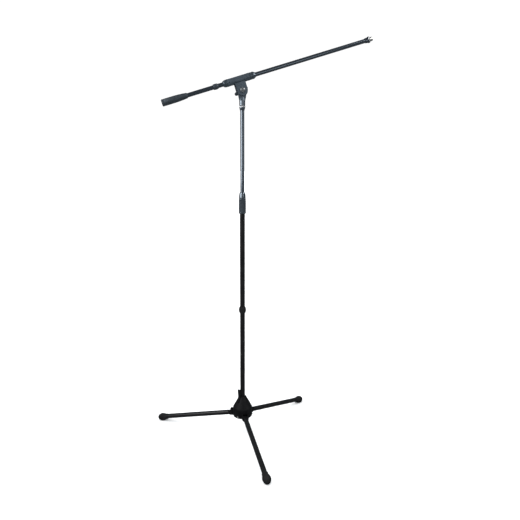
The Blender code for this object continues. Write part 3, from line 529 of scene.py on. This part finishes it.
def leg_ears(number, low, reach):
    """The two ears beside a leg's window; they start inside the skirt and the window trims them."""
    root, sunk = HUB_R - 3 * MM, 0.4 * MM
    lower, upper = 9 * MM, 7 * MM
    outline = [(root, low)]
    outline += arc((reach - lower, low + lower), lower, -90, 0, 10)
    outline += arc((reach - upper, EAR_TOP_Z - upper), upper, 0, 90, 10)
    outline += [(root, EAR_TOP_Z)]
    ears = []
    for side in (-1, 1):
        beside = Matrix.Translation((0, side * (EAR_INNER - sunk + EAR_OUTER) / 2, 0))
        ears.append(plate(outline, (EAR_OUTER - EAR_INNER + sunk) / 2,
                          facing(number) @ beside @ UPRIGHT))
    return ears


def leg_openings(number):
    """Cutters for a leg's window and its pin, and for the side screw with the same number."""
    inside, face, outside = 30 * MM, 40.8 * MM, 70 * MM
    bottom, lintel, top = 70 * MM, 93 * MM, 100 * MM
    window = [(inside, bottom), (outside, bottom), (outside, top), (face, top), (face, lintel),
              (inside, lintel)]
    pin_r = (LEGS[number].translation - POLE.translation).xy.length
    pin = facing(number) @ Matrix.Translation((pin_r, 0, LEGS[number].translation.z)) @ ACROSS
    screw_r, screw_start, screw_end = 1.9 * MM, 30 * MM, 45 * MM
    return [plate(window, EAR_INNER, facing(number) @ UPRIGHT),
            rod(LEG_PIN_R + 0.4 * MM, -THROUGH, THROUGH, pin),
            rod(screw_r, screw_start, screw_end, POLE.inverted() @ screw_frame(number))]


def lever_slot():
    """Cutter for the slot in the cone that the lever stands in."""
    place = POLE.inverted() @ LEVER
    half, below, above, outward = 4.5 * MM, 6 * MM, 24 * MM, 14 * MM
    start = HUB_NECK_R + 0.3 * MM - place.translation.xy.length
    return block((start, -half, -below), (outward, half, above), place)


def hub_cover():
    low, high, reach = extent("hub_cover", POLE)
    ear_reach = math.sqrt(reach ** 2 - EAR_OUTER ** 2)
    ears = [ear for number in LEG_NUMBERS for ear in leg_ears(number, low, ear_reach)]
    cuts = [cut for number in LEG_NUMBERS for cut in leg_openings(number)]
    cover = combined(hub_shell(low, high), ears, "UNION")
    cover = combined(cover, cuts + [lever_slot()], "DIFFERENCE")
    show("hub_cover", softened(cover, 0.75 * MM, 5, 0.4), POLE, "hub_casting", 60)


def screw_frame(number):
    """On the pole's axis at a side screw's height, Z out along the screw."""
    centre = middle(f"hub_screw_{number}")
    origin = Vector((*POLE.translation.xy, centre.z))
    return frame_at(origin, centre - origin, (0, 0, 1))


def hub_screws():
    seat, shank, flange = HUB_R + 0.2 * MM, 1.5 * MM, 0.6 * MM
    for number in LEG_NUMBERS:
        place = screw_frame(number)
        start, end, head = extent(f"hub_screw_{number}", place)
        profile = screw_outline(start, seat, end, shank, (1.0 * MM, 1.0 * MM), head, flange)
        screw(f"hub_screw_{number}", place, profile, 1.3 * MM, 0.9 * MM)


def base_screw():
    """Pan-head screw under the hub; its head is the lower end."""
    low, high, head = extent("base_screw", POLE)
    down = POLE @ Matrix.Rotation(math.pi, 4, "X")
    head_height, shank, flange = 4.5 * MM, 3 * MM, 2.4 * MM
    profile = screw_outline(-high, -low - head_height, -low, shank, (2.2 * MM, 1.5 * MM), head,
                            flange, 0.72, 0.3 * MM)
    screw("base_screw", down, profile, 3.6 * MM, 2.2 * MM)


def lock_spring():
    """The latch's coil, built at the imported node's length; on the real stand it flattens against
    the hub's ceiling as the sleeve rises.
    """
    low, high, radius = extent("lock_spring", POLE)
    turns, per_turn, wire = 3, 40, 0.6 * MM
    mean, count = radius - wire, turns * per_turn
    path = []
    for i in range(count + 1):
        angle = 2 * math.pi * i / per_turn
        height = low + wire + (high - low - 2 * wire) * i / count
        path.append(Vector((mean * math.cos(angle), mean * math.sin(angle), height)))
    coil = show("lock_spring", sweep(path, wire), POLE, "steel")
    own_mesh(coil)


def release_lever():
    """Flat lever: a foot round the pin with a toe toward the pole, and a rounded, ridged top."""
    pivot = (LEVER.translation - POLE.translation).xy.length
    foot, half, boss = LEVER.translation.z, 4.0 * MM, 3.6 * MM
    top = extent("release_lever", LEVER)[1]

    def at(reach, height):
        """A place given from the pole's axis and the floor."""
        return reach * MM - pivot, height * MM - foot

    toe, web, neck, back, heel = 14.6, 16.3, 14.8, 22.4, 23.5
    toe_low, toe_high, web_top, neck_top, back_top, heel_top = 140.2, 142.7, 151.5, 157, 168, 150
    inner, outer = 15.0 * MM - pivot, 25.2 * MM - pivot
    tip = (outer - inner) / 2
    outline = [at(toe, toe_high), at(web, toe_high), at(web, web_top), at(neck, neck_top)]
    outline += arc((inner + tip, top - tip), tip, 180, 0, 14)
    for down in (9, 12, 15, 18):
        ridge = (outer - down * 0.1 * MM, top - down * MM)
        outline += arc(ridge, 0.7 * MM, 90, -90, 5)
    outline += [at(back, back_top), at(heel, heel_top)]
    outline += arc((0, 0), boss, 0, -120, 10)
    outline += [at(toe, toe_low)]
    lever = plate(outline, half, UPRIGHT)
    lever = combined(lever, [rod(LEVER_PIN_R + 0.25 * MM, -10 * MM, 10 * MM, ACROSS)],
                     "DIFFERENCE")
    show("release_lever", softened(lever, 0.35 * MM, 3, 0.4), LEVER, "dull_plastic", 60)


def leg_root(number):
    """Cast eye on the pin, a collar, and the plug inside the tube."""
    place, eye, collar, half_width = LEGS[number], 9.8 * MM, 10.0 * MM, 9.9 * MM
    plug, taper, back = 8.45 * MM, 1.5 * MM, -2 * MM
    plug_end = extent(f"leg_root_{number}", place)[1]
    profile = [(0, back), (eye, back), (eye, collar), (plug, collar), (plug, plug_end - taper),
               (plug - 1 * MM, plug_end), (0, plug_end)]
    root = lathe(profile, steps=72)
    root = combined(root, [rod(eye, -half_width, half_width, ACROSS, 72)], "UNION")
    root = combined(root, [rod(LEG_PIN_R + 0.3 * MM, -THROUGH, THROUGH, ACROSS)], "DIFFERENCE")
    show(f"leg_root_{number}", softened(root, 0.5 * MM, 3, 0.4), place, "hub_casting", 60)


def leg_pin(number):
    """Rivet with a low domed head at each end."""
    place = LEGS[number] @ ACROSS
    high, head = extent(f"leg_pin_{number}", place)[1:]
    under, rim = 12.85 * MM, 0.2 * MM
    half = [(0, high), (head * 0.5, high - 0.1 * MM), (head * 0.85, high - 0.35 * MM),
            (head, under + rim), (head, under), (LEG_PIN_R, under)]
    profile = half + [(radius, -height) for radius, height in reversed(half)]
    show(f"leg_pin_{number}", lathe(profile, steps=40), place, "dull_paint")


def finely_divided(profile, spacing):
    """The outline with points added so that none are farther apart than about the spacing."""
    fine = [profile[0]]
    for start, end in zip(profile, profile[1:]):
        start, end = Vector(start), Vector(end)
        count = max(1, int((end - start).length / spacing))
        fine += [tuple(start.lerp(end, (i + 1) / count)) for i in range(count)]
    return fine


def leg_foot(number):
    """Rubber bulb with a rolled lip at its mouth and grip rings round its fuller end.

    It hangs a little below the tube's axis, and the floor flattens it.
    """
    place = LEGS[number]
    low, high = extent(f"leg_foot_{number}", place)[:2]
    drop, widest = 1.2 * MM, high - 22.0 * MM
    radius, neck, lip = 16.0 * MM, 11.4 * MM, 12.0 * MM
    bore, socket = 10.2 * MM, high - 12.5 * MM
    profile = [(0, high)]
    for i in range(1, 19):
        angle = math.pi / 2 * i / 18
        profile.append((radius * math.sin(angle), widest + (high - widest) * math.cos(angle)))
    for i in range(1, 15):
        share = i / 14
        swell = (1 + math.cos(math.pi * share)) / 2
        profile.append((neck + (radius - neck) * swell, widest - (widest - low) * share * 0.93))
    profile += [(lip, low + 1.4 * MM), (lip, low + 0.5 * MM), (neck, low), (0, low)]

    depth, pitch, below, above = 0.35 * MM, 1.6 * MM, 7 * MM, 11 * MM

    def grip_rings(at, height, angle):
        over = height - widest
        if at < radius * 0.8 or not -below < over < above:
            return at
        return at - depth * max(0.0, math.sin(over / pitch * math.pi)) ** 2

    foot = lathe(finely_divided(profile, 0.7 * MM), steps=72, warp=grip_rings,
                 place=Matrix.Translation((drop, 0, 0)))
    far = 0.1
    below_floor = place.inverted() @ Matrix.Translation((0, 0, -far))
    cuts = [rod(bore, low - 10 * MM, socket, steps=72),
            block((-1, -1, -far), (1, 1, far), below_floor)]
    show(f"leg_foot_{number}", combined(foot, cuts, "DIFFERENCE"), place, "foot_rubber")


def tripod():
    hub_cover()
    hub_screws()
    base_screw()
    lock_spring()
    release_lever()
    for number in LEG_NUMBERS:
        start = extent(f"leg_tube_{number}", LEGS[number])[0]
        crimps = (start + 9 * MM, start + 17 * MM)
        tube(f"leg_tube_{number}", LEGS[number], 1.2 * MM, "leg_paint", crimps)
        leg_root(number)
        leg_pin(number)
        leg_foot(number)


# --- pole ---------------------------------------------------------------------------------------
def cable_ring(node, place, bore, finish):
    """Rubber ring: barrel-shaped, with a lip at each end and a fine groove beside each lip."""
    low, high, radius = extent(node, place)
    half, centre = (high - low) / 2, (high + low) / 2
    lip, count = bore + 1.1 * MM, 40
    flatness, sunk, groove_start, groove_end = 3.2, 0.35 * MM, 0.60, 0.66
    outer = [(bore, low), (lip, low)]
    for i in range(count + 1):
        share = 2 * i / count - 1
        crown = lip + (radius - lip) * (1 - abs(share) ** flatness)
        groove = sunk if groove_start < abs(share) < groove_end else 0
        outer.append((crown - groove, centre + half * 0.97 * share))
    outer += [(lip, high), (bore, high)]
    show(node, lathe(rounded(outer, 0.2 * MM, segments=2), steps=72), place, finish)


def clutch_sleeve(waist):
    """Hollow twist sleeve: a glossy crown, a waist that the grip covers and a flange below it."""
    low, high = extent("clutch_sleeve", POLE)[:2]
    grip_low, grip_high = extent("clutch_grip", POLE)[:2]
    flange, rim, bevel, gap = 13.8 * MM, 12.7 * MM, 1.3 * MM, 0.3 * MM
    mouth, bore, throat = 8.4 * MM, 11.5 * MM, 9.7 * MM
    taper, ceiling = 970 * MM, 1001.5 * MM
    # the crown's radius at each distance below its top, in millimetres
    crown = [(9.4, 0), (10.5, 0.9), (11.3, 2.9), (11.9, 5.5), (12.4, 9.0), (12.9, 13.5),
             (13.2, 19.5), (13.5, 27.5), (13.5, 30.3)]
    outside = [(mouth, high)] + [(radius * MM, high - drop * MM) for radius, drop in crown]
    outside += [(waist, grip_high + gap), (waist, grip_low - gap), (flange, grip_low - gap),
                (flange, low + bevel), (rim, low)]
    inside = [(bore, low), (bore, taper), (throat, ceiling), (mouth, ceiling)]
    show("clutch_sleeve", lathe(rounded(outside + inside, 0.5 * MM), steps=96), POLE,
         "gloss_plastic")


def clutch_grip(waist):
    """Rubber grip round the sleeve's waist, with flutes that run out at both ends."""
    low, high, rim = extent("clutch_grip", POLE)
    flutes, depth, runout, bevel = 26, 0.8 * MM, 3.0 * MM, 0.6 * MM
    bore = waist + 0.3 * MM
    profile = [(bore, low), (rim - bevel, low), (rim, low + bevel)]
    profile += [(rim, low + runout * share) for share in (0.5, 0.75, 1.0)]
    profile += [(rim, high - runout * share) for share in (1.0, 0.75, 0.5)]
    profile += [(rim, high - bevel), (rim - bevel, high), (bore, high)]

    def fluted(radius, height, angle):
        if radius < rim - HAIR:
            return radius
        fade = min(1.0, (height - low) / runout, (high - height) / runout)
        return radius - depth * fade * (0.5 + 0.5 * math.cos(angle * flutes)) ** 2

    show("clutch_grip", lathe(profile, steps=flutes * 8, warp=fluted), POLE, "grip_rubber", 50)


def end_cap(node, tube_node, place, straight, mouth, bore, finish):
    """A cap over a tube's end: straight at the top, tapered to its mouth, with a stud's hole."""
    low, high, radius = extent(node, place)
    floor_z = extent(tube_node, place)[1] + 0.3 * MM
    profile = [(radius, high), (radius, high - straight), (mouth, low), (bore, low),
               (bore, floor_z), (STUD_R, floor_z), (STUD_R, high)]
    show(node, lathe(rounded(profile, 0.5 * MM), steps=72), place, finish)


def pole():
    tube("lower_tube", POLE, 1.5 * MM, "dull_paint")
    tube("upper_tube", POLE, 1.2 * MM, "gloss_paint")
    cable_ring("pole_cable_ring", POLE, 10.3 * MM, "foot_rubber")
    waist = 12.4 * MM
    clutch_sleeve(waist)
    clutch_grip(waist)
    end_cap("tube_top_collar", "upper_tube", POLE, 3.3 * MM, 8.8 * MM, 8.3 * MM, "gloss_plastic")
    stud("threaded_stud", POLE, extent("upper_tube", POLE)[1] - 0.2 * MM)
    knurled_ring("neck_ring", POLE, STUD_R, 40)


# --- swivel -------------------------------------------------------------------------------------
CLAMP_RISE = (BOOM.inverted() @ BOLT.translation).x
TONGUE_R, TONGUE_HALF = 18.7 * MM, 4.8 * MM
JAW_INNER, JAW_OUTER = 6.0 * MM, 12.6 * MM
BOLT_HOLE_R, BARREL_R, RING_BORE = 4.3 * MM, 13.85 * MM, 8.2 * MM
SCREW_PLACE = Matrix.Translation((0, -BARREL_R, -40 * MM)) @ UPRIGHT


def swivel_neck():
    """Glossy round socket that spreads into the matt, flat tongue between the clamp's jaws."""
    low = extent("swivel_neck", POLE)[0]
    tilt_z, socket_r, bevel = BOLT.translation.z, 11.3 * MM, 0.6 * MM
    root, shoulder, flare, blend_top = 1345 * MM, 1351 * MM, 1364 * MM, 1368 * MM
    root_r, shoulder_r, flare_r = 10.6 * MM, 11.5 * MM, 14.4 * MM
    socket = lathe([(0, low), (socket_r - bevel, low), (socket_r, low + bevel),
                    (socket_r, shoulder), (TONGUE_HALF * 0.8, blend_top), (0, blend_top)],
                   steps=96)
    outline = [(-root_r, root), (root_r, root), (shoulder_r, shoulder), (flare_r, flare)]
    outline += arc((0, tilt_z), TONGUE_R, -36, 216, 60)
    outline += [(-flare_r, flare), (-shoulder_r, shoulder)]
    neck = combined(socket, [plate(outline, TONGUE_HALF, UPRIGHT)], "UNION")
    at_bolt = Matrix.Translation((0, 0, tilt_z)) @ ACROSS
    cuts = [rod(BOLT_HOLE_R, -THROUGH, THROUGH, at_bolt),
            rod(STUD_R, low - 10 * MM, shoulder + 1 * MM)]
    neck = combined(neck, cuts, "DIFFERENCE")
    obj = show("swivel_neck", softened(neck, 0.5 * MM, 14, 0.9), POLE, "neck_paint", 60)
    obj.data.materials.append(FINISHES["swivel_casting"])
    for face in obj.data.polygons:
        face.material_index = int(face.center.z > shoulder - 2 * MM)


def clamp_half(node, side):
    """Half of the boom clamp: half a barrel with a rim at each end, and a round jaw."""
    inverse = BOOM.inverted()
    jaw_r = max((inverse @ vertex.co).z for vertex in frame["nodes"][node].data.vertices
                if (inverse @ vertex.co).x > CLAMP_RISE * 0.8)
    low, high = extent(node, BOOM)[:2]
    bore, waist, rim, step = 9.0 * MM, BARREL_R - 0.45 * MM, 5.0 * MM, 0.6 * MM
    outer = [(bore, low), (BARREL_R, low), (BARREL_R, low + rim), (waist, low + rim + step),
             (waist, high - rim - step), (BARREL_R, high - rim), (BARREL_R, high), (bore, high)]
    jaw_start = 10.5 * MM
    jaw = [(jaw_start, -jaw_r), (jaw_start, jaw_r)]
    jaw += arc((CLAMP_RISE, 0), jaw_r, 90, -90, 40)
    beside = Matrix.Translation((0, side * (JAW_INNER + JAW_OUTER) / 2, 0))
    jaws = [plate(jaw, (JAW_OUTER - JAW_INNER) / 2, beside @ UPRIGHT)]
    half = combined(lathe(outer, steps=96), jaws, "UNION")
    far, tall, parting = 50 * MM, 0.1, 0.3 * MM
    edges = (-far, parting) if side > 0 else (-parting, far)
    at_bolt = Matrix.Translation((CLAMP_RISE, 0, 0)) @ ACROSS
    cuts = [block((-far, edges[0], -tall), (far, edges[1], tall)),
            rod(BOLT_HOLE_R, -THROUGH, THROUGH, at_bolt)]
    if side < 0:
        above, head, shank = 5 * MM, (2.6 * MM, -0.9 * MM), (1.75 * MM, -3.9 * MM)
        cuts += [rod(radius, bottom, above, SCREW_PLACE) for radius, bottom in (head, shank)]
    half = combined(half, cuts, "DIFFERENCE")
    show(node, softened(half, 0.5 * MM, 4, 0.3), BOOM, "swivel_casting", 60)


def clamp_screw():
    place = BOOM @ SCREW_PLACE
    start, end, head = extent("clamp_screw", place)
    seat, shank, flange = -0.6 * MM, 1.5 * MM, 1.0 * MM
    profile = screw_outline(start, seat, end, shank, (0.9 * MM, 0.8 * MM), head, flange)
    screw("clamp_screw", place, profile, 1.2 * MM, 0.8 * MM, "plastic")


def tilt_bolt():
    """Domed head in front, and the plain shank that the handle turns on."""
    low, high, head = extent("tilt_bolt", BOLT)
    seat, shank, bevel, points = -12.9 * MM, 4.0 * MM, 0.8 * MM, 16
    edge = seat - 1.2 * MM
    profile = []
    for i in range(points + 1):
        angle = math.pi / 2 * i / points
        profile.append((head * math.sin(angle), edge + (low - edge) * math.cos(angle)))
    profile += [(head, seat), (shank, seat), (shank, high - bevel), (shank - 0.7 * MM, high),
                (0, high)]
    show("tilt_bolt", lathe(profile, steps=72), BOLT, "satin_zinc")


def handle_bar(reach, half_thick, place):
    """A bar with full rounded ends and a slight waist; its section is a rounded oblong."""
    half_width, slimmer, sections, sides = 7.5 * MM, 0.10, 40, 32
    shape = bmesh.new()
    rings = []
    for i in range(1, sections):
        share = -math.cos(math.pi * i / sections)
        end = max(0.0, 1 - abs(share) ** 6) ** 0.5
        width = half_width * end * (1 - slimmer * math.cos(share * math.pi / 2) ** 4)
        ring = []
        for side in range(sides):
            angle = 2 * math.pi * side / sides
            across, depth = math.cos(angle), math.sin(angle)
            square = (abs(across) ** 3 + abs(depth) ** 3) ** (-1 / 3)
            corner = (share * reach, across * square * width, depth * square * half_thick * end)
            ring.append(shape.verts.new(corner))
        rings.append(ring)
    skin(shape, rings)
    return made_mesh(shape, place)


def t_handle():
    """T-handle: its bar on a round boss that holds the brass insert."""
    low, high, radius = extent("t_handle", BOLT)
    bar_low, turn = 21.5 * MM, math.radians(31.6)
    half_thick = (high - bar_low) / 2
    lift = Matrix.Translation((0, 0, bar_low + half_thick)) @ Matrix.Rotation(-turn, 4, "Z")
    bar = handle_bar(radius * 0.998, half_thick, lift)
    foot, boss, boss_top = 9 * MM, 8.5 * MM, high - 2 * MM
    base = lathe([(0, low), (foot, low), (boss, low + 3 * MM), (boss, boss_top), (0, boss_top)],
                 steps=72)
    handle = combined(bar, [base], "UNION")
    insert_r, insert_end = 6.3 * MM, 29.9 * MM
    handle = combined(handle, [rod(insert_r, low - 5 * MM, insert_end)], "DIFFERENCE")
    show("t_handle", softened(handle, 0.5 * MM, 5, 0.4), BOLT, "plastic", 60)


def clamp_ring_back():
    """Plain ring that tapers toward the butt."""
    low, high, rim = extent("clamp_ring_back", BOOM)
    profile = [(RING_BORE, high), (rim, high), (rim, high - 3.9 * MM), (12.9 * MM, low + 7 * MM),
               (11.4 * MM, low + 3 * MM), (9.4 * MM, low), (RING_BORE, low)]
    show("clamp_ring_back", lathe(rounded(profile, 0.5 * MM), steps=72), BOOM, "plastic")


def clamp_ring_front():
    """Locking nut: a ribbed band, a groove, a smooth collar and a taper toward the tip."""
    low, high, collar = extent("clamp_ring_front", BOOM)
    band, groove, taper, mouth = 13.3 * MM, 12.2 * MM, 11.4 * MM, 9.1 * MM
    profile = [(RING_BORE, low), (band, low), (band, low + 7.9 * MM), (groove, low + 8.7 * MM),
               (groove, low + 9.9 * MM), (collar, low + 10.7 * MM), (collar, high - 8 * MM),
               (taper, high - 3.5 * MM), (mouth, high), (RING_BORE, high)]
    ribs = knurl(band, 30, 0.3 * MM, low + 1.2 * MM, low + 7.0 * MM)
    nut = lathe(rounded(profile, 0.5 * MM), steps=120, warp=ribs)
    show("clamp_ring_front", nut, BOOM, "plastic", 50)


def swivel():
    swivel_neck()
    clamp_half("clamp_front_half", -1)
    clamp_half("clamp_rear_half", 1)
    clamp_ring_back()
    clamp_ring_front()
    clamp_screw()
    tilt_bolt()
    t_handle()


# --- boom ---------------------------------------------------------------------------------------
def butt_grip():
    """Rubber grip: a rounded butt, a full barrel and a taper that ends in a thin bead."""
    low, high, full = extent("butt_grip", BOOM)
    bore, mouth = 8.1 * MM, extent("boom_tube", BOOM)[0] - 0.3 * MM
    lip, bead = 9.7 * MM, 10.2 * MM
    profile = [(0, mouth), (bore, mouth), (bore, high), (lip, high), (bead, high - 0.6 * MM),
               (bead, high - 2.0 * MM), (lip, high - 2.6 * MM)]
    start, end, points = 0.97, 0.50, 32        # the taper's ends, as shares of the grip's length
    for i in range(1, points + 1):
        share = start - (start - end) * i / points
        taper = max(0.0, (share - end) / (1 - end))
        fall = 0.45 * taper + 0.55 * taper ** 2.6
        profile.append((full - (full - lip) * fall, low + (high - low) * share))
    groove, sunk, edge = low + 9 * MM, full - 0.5 * MM, 3.2 * MM
    profile += [(full, groove + 1.4 * MM), (sunk, groove + 0.5 * MM), (sunk, groove - 0.5 * MM),
                (full, groove - 1.4 * MM)]
    profile += arc((full - edge, low + edge), edge, 0, -90, 8)
    dish = low + 0.6 * MM
    profile += [(full * 0.55, low), (full * 0.5, dish), (0, dish)]
    show("butt_grip", lathe(profile, steps=96), BOOM, "grip_rubber")


def thread_adapter():
    """The 5/8 inch adapter with its outer thread, screwed onto the tip's stud."""
    low, high, crest = extent("thread_adapter", BOOM)
    pitch, depth, ease = 0.94 * MM, 0.5 * MM, 0.5 * MM
    thread_low, thread_high = low + 0.8 * MM, high - ease
    profile = [(STUD_R, high), (crest - 0.8 * MM, high), (crest - ease, high - 0.2 * MM)]
    profile += reversed(dense(crest, thread_low, thread_high, pitch))
    profile += [(crest - depth, low + 0.4 * MM), (crest - depth, low), (STUD_R, low)]
    warp = screw_thread(crest, depth, pitch, thread_low, thread_high)
    show("thread_adapter", lathe(profile, steps=72, warp=warp), BOOM, "nickel", 60)


def boom_tip():
    end_cap("boom_tip_cap", "boom_tube", BOOM, 5.5 * MM, 8.7 * MM, 8.1 * MM, "boom_paint")
    stud("tip_stud", BOOM, extent("boom_tube", BOOM)[1] - 0.3 * MM)
    knurled_ring("tip_ring", BOOM, STUD_R, 44)
    thread_adapter()


def boom():
    tube("boom_tube", BOOM, 1.1 * MM, "boom_paint")
    butt_grip()
    cable_ring("boom_cable_ring", BOOM, 8.1 * MM, "grip_rubber")
    boom_tip()


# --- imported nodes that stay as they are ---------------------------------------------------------
KEPT = {
    "hub_base_plate": "hub_casting", "lock_sleeve": "dull_plastic", "lever_pin": "nickel",
    "clutch_ferrule": "hub_casting", "clutch_collet": "plastic", "upper_tube_guide": "plastic",
    "friction_washer_front": "fibre", "friction_washer_rear": "fibre", "bolt_washer": "nickel",
    "t_handle_insert": "brass", "clamp_liner": "plastic", "counterweight": "steel",
}


def finish_kept_nodes():
    for node, finish in KEPT.items():
        mesh = frame["nodes"][node].data
        mesh.materials.clear()
        mesh.materials.append(FINISHES[finish])


# --- stage --------------------------------------------------------------------------------------
def floor():
    """A pale matt disc under the feet, which glossy surfaces don't reflect."""
    size, half, clearance = 40.0, 5 * MM, 0.2 * MM
    middle_z = -half - clearance
    disc = plate(arc((0, 0), size, 0, 354, 60), half, Matrix.Translation((0, 0, middle_z)))
    obj = loose_object(disc)
    obj.name = "floor"
    material = bpy.data.materials.new("floor")
    material.use_nodes = True
    shader = material.node_tree.nodes["Principled BSDF"]
    shader.inputs["Base Color"].default_value = (0.92, 0.92, 0.92, 1)
    shader.inputs["Roughness"].default_value = 0.9
    shader.inputs["Specular IOR Level"].default_value = 0.0
    obj.data.materials.append(material)
    obj.visible_glossy = False


def softbox(name, target, direction, distance, size, power, roll=0):
    """A lamp that shows in glossy surfaces only, so far from its target in a direction.

    roll turns it about its own axis, in degrees.
    """
    light = bpy.data.lights.new(name, "AREA")
    light.shape = "RECTANGLE"
    light.size, light.size_y = size
    light.energy = power
    obj = bpy.data.objects.new(name, light)
    bpy.context.scene.collection.objects.link(obj)
    direction = Vector(direction).normalized()
    obj.location = Vector(target) + direction * distance
    facing_target = direction.to_track_quat("Z", "Y").to_matrix().to_4x4()
    obj.rotation_euler = (facing_target @ Matrix.Rotation(math.radians(roll), 4, "Z")).to_euler()
    obj.visible_diffuse = False


def surroundings():
    """A world that is white to the camera and a dimmer, bluish one to everything else."""
    world = bpy.data.worlds.new("studio")
    world.use_nodes = True
    nodes, links = world.node_tree.nodes, world.node_tree.links
    seen, around = nodes["Background"], nodes.new("ShaderNodeBackground")
    seen.inputs["Color"].default_value = (1, 1, 1, 1)
    seen.inputs["Strength"].default_value = 1.05
    around.inputs["Color"].default_value = (0.86, 0.93, 1.0, 1)
    around.inputs["Strength"].default_value = 0.32
    path, mix = nodes.new("ShaderNodeLightPath"), nodes.new("ShaderNodeMixShader")
    links.new(path.outputs["Is Camera Ray"], mix.inputs["Fac"])
    links.new(around.outputs["Background"], mix.inputs[1])
    links.new(seen.outputs["Background"], mix.inputs[2])
    links.new(mix.outputs["Shader"], nodes["World Output"].inputs["Surface"])
    bpy.context.scene.world = world


def overhead():
    """A wide, soft light from above that glossy surfaces don't reflect."""
    sun = bpy.data.lights.new("overhead", "SUN")
    sun.energy = 4.9
    sun.angle = math.radians(120)
    obj = bpy.data.objects.new("overhead", sun)
    obj.visible_glossy = False
    bpy.context.scene.collection.objects.link(obj)
    obj.rotation_euler = (math.radians(12), math.radians(-14), 0)


def studio_light():
    """The surroundings, the overhead light, and four lamps that only make highlights."""
    surroundings()
    overhead()
    upper_pole = POLE.translation + Vector((0, 0, 1.75))
    boom_middle = POLE.translation + Vector((0.38, 0, 1.471))
    boom_slope = 17.8
    softbox("key", upper_pole, (-0.95, -0.50, 0), 2.2, (1.7, 1.5), 80)
    softbox("strip", boom_middle, (0.2, -1.0, 0), 2.4, (1.1, 0.8), 8.5, boom_slope)
    softbox("spark", BOLT.translation, (0.75, -0.35, 0.56), 2.4, (1.35, 1.5), 150)
    softbox("top", LEGS[2].translation, (-0.63, -0.12, 0.76), 3.5, (0.6, 0.6), 45)
    bpy.context.scene.view_settings.view_transform = "Standard"


def camera():
    """In front of the stand and left of its pole, lower than the boom, looking a little down."""
    eye = POLE.translation + Vector((-0.2783, -1.9805, 1.145))
    heading, pitch, roll = math.radians(10.49), math.radians(11.4), math.radians(0.42)
    data = bpy.data.cameras.new("camera")
    data.sensor_width = 36.0
    data.lens = 35.5154
    data.shift_x = -0.0083
    obj = bpy.data.objects.new("camera", data)
    bpy.context.scene.collection.objects.link(obj)
    obj.location = eye
    turn = Matrix.Rotation(-heading, 4, "Z") @ Matrix.Rotation(math.pi / 2 - pitch, 4, "X")
    obj.rotation_euler = (turn @ Matrix.Rotation(roll, 4, "Z")).to_euler()
    bpy.context.scene.camera = obj


camera()
tripod()
pole()
swivel()
boom()
finish_kept_nodes()
floor()
studio_light()

bpy.context.view_layer.update()
